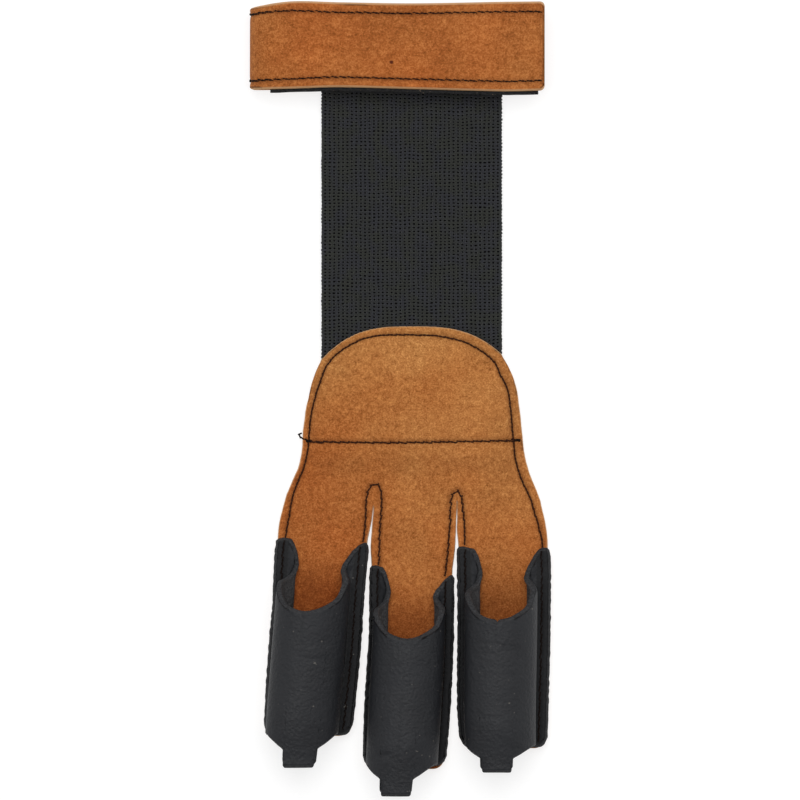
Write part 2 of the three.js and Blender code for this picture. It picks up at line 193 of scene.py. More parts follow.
def palm_edge(down, side):
    """Left (-1) or right (1) edge of the palm, at a distance down from the top of its arch."""
    rise, opened, outer = (
        (arch_rise_left, side_left, hand_left) if side < 0
        else (arch_rise_right, side_right, hand_right)
    )
    half = side * elastic_width / 2
    if down < rise:
        return half * (down / rise) ** (1 / 3)
    return lerp(half, outer, opened((down - rise) / (slit_line(outer) - rise)))


def corner_cut(distance, radius):
    """How far a round corner cuts in, at a distance from the end of the edge."""
    left = radius - min(max(distance, 0.0), radius)
    return radius - math.sqrt(radius * radius - left * left)


def wander(x, y, size, seed):
    """A smooth random value from about -1 to 1 that changes over a distance of size."""
    return noise.noise((x / size, y / size, seed * 7.31))


def sway(x, y):
    """How far the soft hand piece stands off the table, which it touches only here and there."""
    return 0.3 * mm * (1 + wander(x, y, 28 * mm, 1))


# Sewn rows, as points across and down from the top of the arch. The edge seam runs inside the
# outline by an inset that wanders as the sewing did, from the left fingertip round to the right.
edge_seam_inset = table_curve(
    table(
        "along inset",
        (0, 2.0), (0.2, 2.6), (0.27, 1.5), (0.34, 2.1), (0.42, 1.9), (0.5, 2.4),
        (0.57, 2.7), (0.64, 2.85), (0.72, 2.7), (0.8, 1.8), (1, 1.9),
    ),
    "along", "inset",
)
slit_seams = [
    table(
        "across down",
        (-3.0, 10.4), (-2.4, 4.3), (-2.2, -1.5), (-1.5, -4.9), (-0.2, -5.8), (1.3, -5.9),
        (2.2, -4.2), (2.4, 1.5), (1.9, 7.4), (1.7, 17.0),
    ),
    table(
        "across down",
        (-3.5, 21.4), (-3.0, 16.3), (-2.3, 8.7), (-2.1, 2.8), (-1.7, -1.4), (-0.4, -2.7),
        (0.9, -2.6), (1.5, -0.4), (2.1, 5.8), (2.3, 12.6),
    ),
]


def smooth_path(points, step):
    """A Catmull-Rom curve through points, as closely spaced points."""
    path = []
    for i in range(len(points) - 1):
        before = points[max(i - 1, 0)]
        a, b = points[i], points[i + 1]
        after = points[min(i + 2, len(points) - 1)]
        count = max(int((b - a).length / step), 1)
        for k in range(count):
            t = k / count
            path.append(0.5 * (
                2 * a + (b - before) * t + (2 * before - 5 * a + 4 * b - after) * t ** 2
                + (3 * a - before - 3 * b + after) * t ** 3
            ))
    return path + [points[-1]]


def outline_points(step):
    """The outer edge from the left fingertip over the arch to the right fingertip."""
    left, right = (
        [
            Vector((finger_sides(i, down)[side], root_down[i] + down))
            for down in (t * fingers[i]["length"] for t in shares(60))
        ]
        for i, side in ((0, 0), (2, 1))
    )
    arch = []
    for side in (-1, 1):
        rise = arch_rise_left if side < 0 else arch_rise_right
        end = slit_line(hand_left if side < 0 else hand_right)
        downs = [rise * t ** 3 for t in shares(20)] + [lerp(rise, end, t) for t in shares(40)[1:-1]]
        points = [Vector((palm_edge(down, side), down)) for down in downs]
        arch += points[::-1] if side < 0 else points[1:]
    return smooth_path(left[::-1] + arch + right, step)


def seam_inside(outline, inset_at):
    """The outline moved inwards, to its right, by an inset in millimetres."""
    lengths = [0.0]
    for a, b in zip(outline, outline[1:]):
        lengths.append(lengths[-1] + (b - a).length)
    path = []
    for i, point in enumerate(outline):
        way = (outline[min(i + 3, len(outline) - 1)] - outline[max(i - 3, 0)]).normalized()
        inset = inset_at(lengths[i] / lengths[-1]) * mm
        path.append(point + Vector((-way.y, way.x)) * inset)
    return path


edge_seam = seam_inside(outline_points(0.5 * mm), edge_seam_inset)
slit_seam_paths = [
    smooth_path([
        Vector((slit_x[k] + row["across"] * mm, slit_line(slit_x[k]) + row["down"] * mm))
        for row in rows
    ], 0.5 * mm)
    for k, rows in enumerate(slit_seams)
]
cross_seam = smooth_path([
    Vector((palm_edge(arch_to_seam, -1) + 1.9 * mm, arch_to_seam)),
    Vector((-6 * mm, arch_to_seam + 0.3 * mm)),
    Vector((palm_edge(arch_to_seam, 1) - 0.3 * mm, arch_to_seam - 0.3 * mm)),
], 0.5 * mm)
seam_points = edge_seam + cross_seam + [point for path in slit_seam_paths for point in path]
seam_tree = KDTree(len(seam_points))
for number, seam_point in enumerate(seam_points):
    seam_tree.insert((seam_point.x, seam_point.y, 0), number)
seam_tree.balance()


def falloff(distance, width):
    """1 at a place, falling to 0 beside it."""
    return math.exp(-((distance / width) ** 2))


seam_reach = 0.75 * mm


def pressed(x, down):
    """How far the nearest sewn row presses the hand piece, from 0 to 1."""
    return falloff(seam_tree.find((x, down, 0))[2], seam_reach)


def linked(name, mesh):
    """An object of a mesh, put into the scene."""
    piece = bpy.data.objects.new(name, mesh)
    scene.collection.objects.link(piece)
    return piece


def sheet_object(name, points, quads, thickness, material, marks=None, slant=0.0):
    """A closed sheet of leather from the points and quads of its middle surface. Its cut edges
    are rounded, and slant in towards the top by a share of the thickness. `marks` are values for
    each point, kept as attributes for the material."""
    normals = [Vector() for _ in points]
    for a, b, c, d in quads:
        face = (points[c] - points[a]).cross(points[d] - points[b])
        for corner in (a, b, c, d):
            normals[corner] += face
    outwards = [Vector() for _ in points]
    borders = {}
    for a, b, c, d in quads:
        for start, end in ((a, b), (b, c), (c, d), (d, a)):
            if (end, start) in borders:
                del borders[(end, start)]
            else:
                borders[(start, end)] = True
    for normal in normals:
        normal.normalize()
    for start, end in borders:
        out = (points[end] - points[start]).cross(normals[start]).normalized()
        outwards[start] += out
        outwards[end] += out
    rim = [i for i, out in enumerate(outwards) if out.length > 0]
    for i in rim:
        outwards[i] *= min(1 / outwards[i].length, 1)
    # Rings of the rounded edge: height above the middle and step outwards, in thicknesses.
    rings = [(0.5, -0.14 - slant), (0.27, -slant * 0.6), (-0.27, 0.0), (-0.5, -0.14)]
    vertices, source, on_edge, under = [], [], [], []
    for high, out in (rings[0], rings[3]):
        for i, point in enumerate(points):
            vertices.append(point + (normals[i] * high + outwards[i] * out) * thickness)
            source.append(i)
            on_edge.append(0.0)
            under.append(0.0 if high > 0 else 1.0)
    place = {}
    for high, out in rings[1:3]:
        for i in rim:
            place[(high, i)] = len(vertices)
            vertices.append(points[i] + (normals[i] * high + outwards[i] * out) * thickness)
            source.append(i)
            on_edge.append(1.0)
            under.append(0.0)
    count = len(points)
    faces = list(quads)
    faces += [(d + count, c + count, b + count, a + count) for a, b, c, d in quads]
    for start, end in borders:
        stack = [
            (start, end),
            (place[(rings[1][0], start)], place[(rings[1][0], end)]),
            (place[(rings[2][0], start)], place[(rings[2][0], end)]),
            (start + count, end + count),
        ]
        faces += [(s1, s2, e2, e1) for (s1, e1), (s2, e2) in zip(stack, stack[1:])]
    mesh = bpy.data.meshes.new(name)
    mesh.from_pydata(vertices, [], faces)
    mesh.shade_smooth()
    columns = {"cut_edge": on_edge, "underside": under}
    for key, values in (marks or {}).items():
        columns[key] = [values[i] for i in source]
    for key, values in columns.items():
        mesh.attributes.new(key, "FLOAT", "POINT").data.foreach_set("value", values)
    mesh.materials.append(material)
    return linked(name, mesh)


def strays(down, place, coarse_seed, fine_seed):
    """How far a hand-cut edge strays from its line."""
    coarse = wander(down, place, 4 * mm, coarse_seed)
    return 0.12 * mm * coarse + 0.06 * mm * wander(down, place, mm, fine_seed)


def hand_grid(across_step, along_step):
    """The hand's outline filled with a grid: its points, across and down, and its quads."""
    near_edge = [0, 0.02, 0.05]

    def finger_columns(i):
        count = int(fingers[i]["width"] / across_step)
        inner = [lerp(near_edge[-1], 1 - near_edge[-1], t) for t in shares(count)]
        return near_edge[:-1] + inner + [1 - t for t in reversed(near_edge[:-1])]

    bounds = [hand_left, *slit_x, hand_right]
    root = []
    first_of = []
    for i in range(3):
        first_of.append(max(len(root) - 1, 0))
        columns = finger_columns(i)
        root += [lerp(bounds[i], bounds[i + 1], t) for t in (columns if i == 0 else columns[1:])]
    first_of.append(len(root) - 1)

    points, quads = [], []

    def add_row(row, above):
        start = len(points)
        points.extend(row)
        if above is not None:
            for k in range(len(row) - 1):
                quads.append((above + k, start + k, start + k + 1, above + k + 1))
        return start

    above = None
    for level in shares(int(arch_to_slits / along_step)):
        down_left = lerp(arch_rise_left, slit_line(hand_left), level)
        down_right = lerp(arch_rise_right, slit_line(hand_right), level)
        left, right = palm_edge(down_left, -1), palm_edge(down_right, 1)
        row = []
        for x in root:
            share = (x - hand_left) / (hand_right - hand_left)
            rise = arch_rise_left if share < 0.5 else arch_rise_right
            top = rise * abs(2 * share - 1) ** 3
            down = lerp(top, slit_line(x), level)
            ragged = strays(down, share, 3, 7)
            row.append(Vector((lerp(left, right, share) + ragged, down + ragged * (1 - level))))
        above = add_row(row, above)
    root_row = above
    for i in range(3):
        finger = fingers[i]
        end = finger["length"] + suede_past_leather[i]
        body = [t * (end - corner_radius) for t in shares(int(finger["length"] / along_step))[1:]]
        tip = [end - corner_radius * (1 - t) for t in (0.2, 0.4, 0.6, 0.75, 0.87, 0.95, 1)]
        columns = finger_columns(i)
        steps = [slit_line(lerp(bounds[i], bounds[i + 1], t)) - root_down[i] for t in columns]
        above = root_row + first_of[i]
        for down in body + tip:
            left, right = finger_sides(i, down)
            cut = corner_cut(end - down, corner_radius)
            under_ear = down - finger["ear_top"]
            cut += suede_inset * smoothstep(under_ear, -6 * mm, 2 * mm)
            ragged = strays(down, i, 4, 6)
            fade = 1 - smoothstep(down, 0, 12 * mm)
            above = add_row([
                Vector((
                    lerp(left + cut, right - cut, t) + ragged,
                    root_down[i] + down + step * fade,
                ))
                for t, step in zip(columns, steps)
            ], above)
    return points, quads


def node(tree, kind, inputs=None, **settings):
    """A node with its settings, and its inputs as values or links."""
    made = tree.nodes.new(kind)
    for key, value in settings.items():
        setattr(made, key, value)
    for key, value in (inputs or {}).items():
        if isinstance(value, bpy.types.NodeSocket):
            tree.links.new(value, made.inputs[key])
        else:
            made.inputs[key].default_value = value
    return made


def result(tree, kind, inputs=None, **settings):
    """What a node gives: its first output."""
    return node(tree, kind, inputs, **settings).outputs[0]


def maths(tree, operation, a, b=0.0, c=0.0):
    return result(tree, "ShaderNodeMath", {0: a, 1: b, 2: c}, operation=operation)


def mixed(tree, factor, a, b, blend="MIX"):
    """A colour mix of a and b."""
    made = node(tree, "ShaderNodeMix", data_type="RGBA", blend_type=blend)
    for socket, value in ((0, factor), (6, a), (7, b)):
        if isinstance(value, bpy.types.NodeSocket):
            tree.links.new(value, made.inputs[socket])
        else:
            made.inputs[socket].default_value = value
    return made.outputs[2]


def mark(tree, name):
    """A piece's own attribute, read as a number."""
    return node(tree, "ShaderNodeAttribute", attribute_name=name).outputs["Fac"]


def new_material(name, roughness, specular):
    """An empty procedural material: its node tree, its shader and the object's coordinates."""
    material = bpy.data.materials.new(name)
    material.use_nodes = True
    tree = material.node_tree
    shader = tree.nodes["Principled BSDF"]
    shader.inputs["Roughness"].default_value = roughness
    shader.inputs["Specular IOR Level"].default_value = specular
    coordinates = node(tree, "ShaderNodeTexCoord").outputs["Object"]
    return material, tree, shader, coordinates


def grain(tree, coordinates, scale, detail, roughness=0.6):
    """A noise pattern; scale is in repeats per metre."""
    values = {"Vector": coordinates, "Scale": scale, "Detail": detail, "Roughness": roughness}
    return node(tree, "ShaderNodeTexNoise", values).outputs["Fac"]


def mark_mixed(tree, name, share, colour, mixed_in):
    """A colour mixed with another colour by a share of one of the piece's attributes."""
    return mixed(tree, maths(tree, "MULTIPLY", mark(tree, name), share), colour, mixed_in)


def spots(tree, pattern, steep, start, most=1.0):
    """The peaks of a pattern alone, from 0 to `most`."""
    peaks = maths(tree, "MAXIMUM", maths(tree, "MULTIPLY_ADD", pattern, steep, start), 0.0)
    return maths(tree, "MINIMUM", peaks, most)


def surface(tree, shader, colour, height=None, strength=0.0, depth=0.0):
    """Gives the shader its colour, and bumps from a height pattern."""
    tree.links.new(colour, shader.inputs["Base Color"])
    if height is not None:
        values = {"Height": height, "Strength": strength, "Distance": depth}
        bump = node(tree, "ShaderNodeBump", values)
        tree.links.new(bump.outputs["Normal"], shader.inputs["Normal"])


# A dark burr in the leather of the strap's flap: its place and its radius.
burr_at = (-2.4 * mm, 94.9 * mm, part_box("wrist_strap")[1].z)
burr_radius = 0.65 * mm


def make_suede():
    """Brown suede: a short speckled nap, painted paler towards the arch as light falling there,
    darkened in the stalls' mouths by painted shade and by finger dirt, darker by painted shade in the
    seams' grooves, and pale on its cut edges."""
    material, tree, shader, coordinates = new_material("suede", 0.95, 0.06)
    clouds = grain(tree, coordinates, 70, 3)
    patches = grain(tree, coordinates, 620, 4, 0.7)
    nap = grain(tree, coordinates, 2100, 3, 0.8)
    tone = maths(tree, "MULTIPLY", clouds, 0.14)
    tone = maths(tree, "MULTIPLY_ADD", patches, 0.3, tone)
    tone = maths(tree, "MULTIPLY_ADD", nap, 0.56, tone)
    ramp = node(tree, "ShaderNodeValToRGB", {"Fac": tone})
    ramp.color_ramp.elements[0].position = 0.37
    ramp.color_ramp.elements[0].color = (0.165, 0.046, 0.01, 1)
    ramp.color_ramp.elements[1].position = 0.63
    ramp.color_ramp.elements[1].color = (0.52, 0.195, 0.057, 1)
    middle = ramp.color_ramp.elements.new(0.5)
    middle.color = (0.33, 0.102, 0.026, 1)
    hue = grain(tree, coordinates, 45, 2)
    redder = maths(tree, "MULTIPLY_ADD", hue, 1.6, -0.5)
    colour = mixed(tree, redder, (1.04, 0.93, 0.84, 1), (0.98, 1.09, 1.12, 1))
    colour = mixed(tree, 1.0, ramp.outputs["Color"], colour, "MULTIPLY")
    # Painted light: the nap is painted paler where more light falls, towards the arch and the strap's
    # ends.
    colour = mixed(tree, mark(tree, "painted_light"), colour, (1.18, 1.52, 1.74, 1), "MULTIPLY")
    # Painted shade under the stalls, and finger dirt, darken the suede in the stalls' mouths.
    colour = mixed(tree, mark(tree, "mouth_shade_and_dirt"), colour, (0.66, 0.55, 0.5, 1), "MULTIPLY")
    # Painted shade: the suede is painted darker in the grooves of the seams.
    colour = mark_mixed(tree, "seam", 0.5, colour, (0.085, 0.022, 0.006, 1))
    colour = mark_mixed(tree, "cut_edge", 0.85, colour, (0.6, 0.36, 0.185, 1))
    from_burr = node(tree, "ShaderNodeVectorMath", {0: coordinates, 1: burr_at}, operation="DISTANCE")
    burr = spots(tree, from_burr.outputs["Value"], -2.0 / burr_radius, 2.0, 0.9)
    colour = mixed(tree, burr, colour, (0.05, 0.008, 0.006, 1))
    shader.inputs["Sheen Weight"].default_value = 0.1
    shader.inputs["Sheen Roughness"].default_value = 0.5
    shader.inputs["Sheen Tint"].default_value = (1, 0.6, 0.34, 1)
    height = maths(tree, "MULTIPLY_ADD", nap, 0.7, maths(tree, "MULTIPLY", patches, 0.4))
    surface(tree, shader, colour, height, 0.6, 0.35 * mm)
    return material


suede = make_suede()


def painted_light(x, down):
    """How much painted light pales the nap: most at the arch, least at the left of the palm."""
    at_left = smoothstep(-x, 6 * mm, 30 * mm) * smoothstep(down, 16 * mm, 44 * mm)
    worn = 1 - 0.45 * smoothstep(down, 4 * mm, 36 * mm) - 0.25 * smoothstep(down, 48 * mm, 62 * mm)
    return max(worn - 0.5 * at_left, 0)


def mouth_shade_and_dirt(x, down):
    """1 where the suede is darkened in the mouths of the stalls: painted shade under the leather, and
    dirt from the fingers.
    """
    left, right = finger_sides(1, max(down - root_down[1], 0))
    i = 0 if x < left else 2 if x > right else 1
    past_ear = down - root_down[i] - fingers[i]["ear_top"]
    return smoothstep(past_ear, 0.15 * mouth_depth, 0.95 * mouth_depth)


def hand_layer(name, across_step, along_step, height, groove):
    """One suede layer: `height` is its middle, and seams press it by groove."""
    grid, quads = hand_grid(across_step, along_step)
    seam = [pressed(point.x, point.y) for point in grid]
    points = [
        Vector((hand_x + point.x, arch_y - point.y, height(point.x, point.y) + groove * seam[i]))
        for i, point in enumerate(grid)
    ]
    marks = {
        "seam": seam,
        "painted_light": [painted_light(point.x, point.y) for point in grid],
        "mouth_shade_and_dirt": [mouth_shade_and_dirt(point.x, point.y) for point in grid],
    }
    return sheet_object(name, points, quads, suede_thick, suede, marks, 0.1)


def back_height(x, down):
    return suede_thick / 2 + sway(x, down)


hand_back = hand_layer("hand_back_suede", 0.8 * mm, 0.8 * mm, back_height, 0.2 * mm)
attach(hand_back, "root")
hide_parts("hand_back")


# Front layer of the hand piece.
# The same suede pattern again, nap upwards. The end of the elastic lies between the two layers and
# lifts this one, so the elastic's edges show as soft steps down to the cross seam.
over_elastic = elastic_thick + seam_gap
end_ramp = 8 * mm


def lift_at(x, down):
    """How far the elastic lifts the front layer, from 0 to 1."""
    aside = max(abs(x) - elastic_width / 2 - seam_gap, 0)
    below = max(down - elastic_end - seam_gap, 0) * suede_ramp / end_ramp
    return 1 - smoothstep(math.hypot(aside, below), 0, suede_ramp)


def front_height(x, down):
    plain = suede_thick * 1.5 + seam_gap + sway(x, down)
    soft = 0.12 * mm * wander(x, down, 9 * mm, 5)
    return plain + over_elastic * lift_at(x, down) + soft


hand_front = hand_layer("hand_front_suede", 0.6 * mm, 0.62 * mm, front_height, -0.28 * mm)
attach(hand_front, "root")
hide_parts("hand_front")


# Elastic band.
# Black knitted elastic webbing, two inches wide. Its upright ribs cover rubber cores, and cross
# threads tie them, which leaves small dark holes in rows. Its ends are sewn in at both sides.
elastic_shown = 82 * mm
rib_pitch = 1.27 * mm
row_pitch = 0.97 * mm
rib_count = round(elastic_width / rib_pitch)
row_count = round(elastic_shown / row_pitch)
strap_low, strap_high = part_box("wrist_strap")
hand_elastic_z = suede_thick + seam_gap + elastic_thick / 2
strap_elastic_z = elastic_high.z - elastic_thick / 2


def elastic_height(x, y):
    """The middle of the elastic, which lies softly between the hand piece and the strap."""
    up = smoothstep(y, arch_y, strap_low.y)
    loose = 0.35 * mm * wander(x, y, 24 * mm, 8) * (4 * up * (1 - up))
    return lerp(hand_elastic_z, strap_elastic_z, up) + sway(x - hand_x, arch_y - y) * (1 - up) + loose


def new_group(name, inputs):
    """A node group that makes geometry: its tree, its input sockets and what they give."""
    tree = bpy.data.node_groups.new(name, "GeometryNodeTree")
    tree.interface.new_socket("Geometry", in_out="OUTPUT", socket_type="NodeSocketGeometry")
    sockets = {}
    for label, kind in inputs:
        socket_type = f"NodeSocket{kind}"
        sockets[label] = tree.interface.new_socket(label, in_out="INPUT", socket_type=socket_type)
    return tree, sockets, node(tree, "NodeGroupInput").outputs


def end_group(tree, geometry, material):
    """Realizes what a node group made, smooths it and gives it its material."""
    last = result(tree, "GeometryNodeRealizeInstances", {0: geometry})
    last = result(tree, "GeometryNodeSetShadeSmooth", {0: last})
    last = result(tree, "GeometryNodeSetMaterial", {0: last, "Material": material})
    tree.links.new(last, node(tree, "NodeGroupOutput").inputs[0])


def fixed(piece, group, values):
    """Puts a node group on a piece with its inputs, and keeps the result as a plain mesh."""
    tree, sockets = group
    modifier = piece.modifiers.new("nodes", "NODES")
    modifier.node_group = tree
    for label, value in values.items():
        modifier[sockets[label].identifier] = value
    piece.update_tag()
    graph = bpy.context.evaluated_depsgraph_get()
    mesh = bpy.data.meshes.new_from_object(piece.evaluated_get(graph))
    piece.modifiers.remove(modifier)
    piece.data = mesh
    return piece


def make_webbing():
    """Black yarn: charcoal, matt, with fine fibres, and faded a little unevenly."""
    material, tree, shader, coordinates = new_material("webbing", 0.85, 0.15)
    fibre = grain(tree, coordinates, 4200, 2)
    tint = grain(tree, coordinates, 240, 3)
    colour = mixed(tree, fibre, (0.0115, 0.0117, 0.0118, 1), (0.038, 0.0384, 0.0385, 1))
    fade = node(tree, "ShaderNodeValToRGB", {"Fac": tint})
    fade.color_ramp.elements[0].position = 0.4
    fade.color_ramp.elements[0].color = (0.95, 1.0, 0.86, 1)
    fade.color_ramp.elements[1].position = 0.6
    fade.color_ramp.elements[1].color = (0.92, 0.95, 1.12, 1)
    colour = mixed(tree, 1.0, colour, fade.outputs["Color"], "MULTIPLY")
    surface(tree, shader, colour, fibre, 0.4, 0.1 * mm)
    shader.inputs["Sheen Weight"].default_value = 0.15
    return material


def grained(name, roughness, specular, scale, dark, light):
    """A plain dull material whose colour varies finely between dark and light."""
    material, tree, shader, coordinates = new_material(name, roughness, specular)
    surface(tree, shader, mixed(tree, grain(tree, coordinates, scale, 2), dark, light))
    return material


webbing = make_webbing()

# Between the threads the rubber cores show in deep gaps; they are painted near black and dull, as the
# shade in the gaps.
core_shade_dark, core_shade_pale = (0.0015, 0.0015, 0.0016, 1), (0.0045, 0.0045, 0.0048, 1)
webbing_core_shade = grained("webbing_core_shade", 0.95, 0.02, 900, core_shade_dark, core_shade_pale)
rib_radius = 0.35 * mm
row_radius = 0.31 * mm


def vector_maths(tree, operation, a, b, c=(0, 0, 0)):
    return result(tree, "ShaderNodeVectorMath", {0: a, 1: b, 2: c}, operation=operation)


def vector(tree, x=0.0, y=0.0, z=0.0):
    return result(tree, "ShaderNodeCombineXYZ", {0: x, 1: y, 2: z})


def joined(tree, parts):
    """Several parts as one geometry."""
    made = node(tree, "GeometryNodeJoinGeometry")
    for part in parts:
        tree.links.new(part, made.inputs[0])
    return made.outputs[0]


def drawn(tree, line, radius):
    """A five-sided yarn drawn along a line, closed at its ends."""
    section = result(tree, "GeometryNodeCurvePrimitiveCircle", {"Resolution": 5, "Radius": radius})
    values = {"Curve": line, "Profile Curve": section, "Fill Caps": True}
    return result(tree, "GeometryNodeCurveToMesh", values)


def threads(tree, top, count, pitch, radius, steps, length, along, aside):
    """Threads of a length, which run one way and are laid side by side the other way."""
    end = vector_maths(tree, "MULTIPLY", along, vector(tree, length, length, length))
    line = result(tree, "GeometryNodeCurvePrimitiveLine", {"End": end})
    line = result(tree, "GeometryNodeResampleCurve", {"Curve": line, "Count": steps})
    odd = maths(tree, "MODULO", result(tree, "GeometryNodeInputIndex"), 2.0)
    knuckle = maths(tree, "MULTIPLY_ADD", odd, -0.22, 1.1)
    line = result(tree, "GeometryNodeSetCurveRadius", {"Curve": line, "Radius": knuckle})
    line = result(tree, "GeometryNodeSetCurveNormal", {"Curve": line}, mode="Z_UP")
    offset = vector_maths(tree, "MULTIPLY", aside, vector(tree, pitch, pitch, pitch))
    places = {"Count": count, "Start Location": top, "Offset": offset}
    tops = result(tree, "GeometryNodeMeshLine", places)
    values = {"Points": tops, "Instance": drawn(tree, line, radius)}
    return result(tree, "GeometryNodeInstanceOnPoints", values)


def shaken(tree, place, seed, scale, detail, reach, more=(0, 0, 0)):
    """A smooth random shift, by up to about half of reach each way, added to more."""
    values = {"Vector": place, "W": seed, "Scale": scale, "Detail": detail}
    pattern = node(tree, "ShaderNodeTexNoise", values, noise_dimensions="4D").outputs["Color"]
    centred = vector_maths(tree, "SUBTRACT", pattern, (0.5, 0.5, 0.5))
    return vector_maths(tree, "MULTIPLY_ADD", centred, reach, more)


# Every knuckle of the yarn lies a little off its place, and whole stretches wave.
fidget_reach = (0.4 * mm, 0.2 * mm, 0.35 * mm)
wave_reach = (0.6 * mm, 1.6 * mm, 0.2 * mm)


def webbing_nodes():
    """Upright ribs laid side by side and cross rows over them."""
    tree, sockets, given = new_group("Ribbed webbing", (
        ("Ribs", "Int"), ("Rows", "Int"), ("Rib pitch", "Float"), ("Row pitch", "Float"),
        ("Rib radius", "Float"), ("Row radius", "Float"), ("Top", "Vector"), ("Seed", "Float"),
        ("Yarn", "Material"),
    ))
    # The rows reach a little past the outer ribs on both sides.
    past_ribs = maths(tree, "MULTIPLY", given["Rib radius"], 1.5)
    rib_length = maths(tree, "MULTIPLY", given["Rows"], given["Row pitch"])
    ribs_across = maths(tree, "MULTIPLY", given["Ribs"], given["Rib pitch"])
    row_length = maths(tree, "MULTIPLY_ADD", past_ribs, 2.0, ribs_across)
    row_top = vector_maths(tree, "SUBTRACT", given["Top"], vector(tree, past_ribs))
    ribs = threads(
        tree, given["Top"],
        maths(tree, "ADD", given["Ribs"], 1.0), given["Rib pitch"], given["Rib radius"],
        maths(tree, "MULTIPLY_ADD", given["Rows"], 2.0, 1.0), rib_length, (0, -1, 0), (1, 0, 0),
    )
    rows = threads(
        tree, row_top,
        given["Rows"], given["Row pitch"], given["Row radius"],
        maths(tree, "MULTIPLY_ADD", given["Ribs"], 2.0, 1.0), row_length, (1, 0, 0), (0, -1, 0),
    )
    cloth = result(tree, "GeometryNodeRealizeInstances", {0: joined(tree, (ribs, rows))})
    place = result(tree, "GeometryNodeInputPosition")
    fidgets = shaken(tree, place, given["Seed"], 900.0, 0.0, fidget_reach)
    waves = shaken(tree, place, given["Seed"], 160.0, 1.0, wave_reach, fidgets)
    cloth = result(tree, "GeometryNodeSetPosition", {"Geometry": cloth, "Offset": waves})
    end_group(tree, cloth, given["Yarn"])
    return tree, sockets


webbing_group = webbing_nodes()

# The core is a plain closed slab, and each face of the shown stretch carries ribs and cross rows.
core_thick = elastic_thick - 0.5 * mm
core_rows, core_columns = shares(60), shares(24)


def grid_quads(outer, inner):
    """The quads between points that are listed in outer rows of inner points each."""
    return [
        (here - inner - 1, here - inner, here, here - 1)
        for here in (o * inner + i for o in range(1, outer) for i in range(1, inner))
    ]


core_points = []
for y_share in core_rows:
    for x_share in core_columns:
        x = lerp(elastic_high.x, elastic_low.x, x_share)
        y = lerp(elastic_high.y, elastic_low.y, y_share)
        core_points.append(Vector((x, y, elastic_height(x, y))))
core_quads = grid_quads(len(core_rows), len(core_columns))
core = sheet_object("elastic_core", core_points, core_quads, core_thick, webbing_core_shade)
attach(core, "root")
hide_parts("elastic_band")

# The ribs run on under the strap, and stay a little inside the edges of the core.
weave_under_strap = 4 * mm
weave_inset = 0.4 * mm
weave_flatter = 0.8
weave_top = (-rib_count * rib_pitch / 2, strap_low.y + weave_under_strap, 0.0)
weave_narrower = (elastic_width - 2 * weave_inset) / elastic_width
for side, name in ((1, "elastic_face"), (-1, "elastic_reverse")):
    weave = fixed(linked(name, bpy.data.meshes.new(name)), webbing_group, {
        "Ribs": rib_count, "Rows": row_count, "Rib pitch": rib_pitch, "Row pitch": row_pitch,
        "Rib radius": rib_radius, "Row radius": row_radius, "Top": weave_top,
        "Seed": 3.0 + side, "Yarn": webbing,
    })
    for vertex in weave.data.vertices:
        x = hand_x + side * vertex.co.x * weave_narrower
        y = vertex.co.y
        out = side * (core_thick / 2 + vertex.co.z * weave_flatter)
        vertex.co = (x, y, elastic_height(x, y) + out)
    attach(weave, "root")


# Wrist strap.
# One strip of brown suede, wound into a flat loop round the wrist. Its outer flap ends at the
# right, over the inner end, and both of its long edges carry a row of black stitches.
strap_thick = 1.5 * mm
strap_width = 25.4 * mm
flap_overhang = 1.3 * mm
flap_corner = 1.4 * mm
inner_end_from_fold = 6.2 * mm
tape_low, tape_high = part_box("strap_tape")
strap_span = strap_high.x - strap_low.x
flap_z = strap_high.z - strap_thick / 2
strap_back_z = strap_thick / 2
strap_inner_z = tape_low.z - seam_gap - strap_thick / 2
strap_edges = table(
    "at top bottom",
    (0, 0.065, 0.02), (0.14, 0, 0.03), (0.3, 0.01, 0.045), (0.55, 0.022, 0.025),
    (0.86, 0.005, 0), (1, 0, 0.01),
)
strap_top_missing = table_curve(strap_edges, "at", "top")
strap_bottom_missing = table_curve(strap_edges, "at", "bottom")
strap_top_y = strap_high.y
strap_bottom_y = strap_top_y - strap_width


def strap_edge_y(x):
    """Lower and upper edge of the strap at a place along its span."""
    at = (x - strap_low.x) / strap_span
    return (
        strap_bottom_y + strap_bottom_missing(at) * strap_width,
        strap_top_y - strap_top_missing(at) * strap_width,
    )


def strap_route(step):
    """The strip from the flap's cut end round both folds: place, upward side and corner cut."""
    left_radius = (flap_z - strap_back_z) / 2
    right_radius = (strap_inner_z - strap_back_z) / 2
    left_turn = strap_low.x + strap_thick / 2 + left_radius
    right_turn = strap_high.x - flap_overhang - strap_thick / 2 - right_radius
    start, end = strap_high.x - flap_corner, strap_low.x + inner_end_from_fold
    route = [
        (strap_high.x - back * flap_corner, flap_z, 0, 1, corner_cut(back * flap_corner, flap_corner))
        for back in (0, 0.06, 0.15, 0.3, 0.5, 0.75, 1)
    ]

    def straight(x_from, x_to, z, up):
        """A flat stretch, without its first place."""
        for t in shares(int(abs(x_to - x_from) / step))[1:]:
            route.append((lerp(x_from, x_to, t), z, 0, up, 0))

    def fold(x, radius, begin, count):
        """Half a turn round a fold, which begins at an angle given in half turns."""
        for t in shares(count)[1:]:
            angle = math.pi * (begin + t)
            across, up = math.cos(angle), math.sin(angle)
            route.append((x + radius * across, strap_back_z + radius * (1 + up), across, up, 0))

    straight(start, left_turn, flap_z, 1)
    fold(left_turn, left_radius, 0.5, 28)
    straight(left_turn, right_turn, strap_back_z, -1)
    fold(right_turn, right_radius, -0.5, 24)
    straight(right_turn, end, strap_inner_z, 1)
    return route


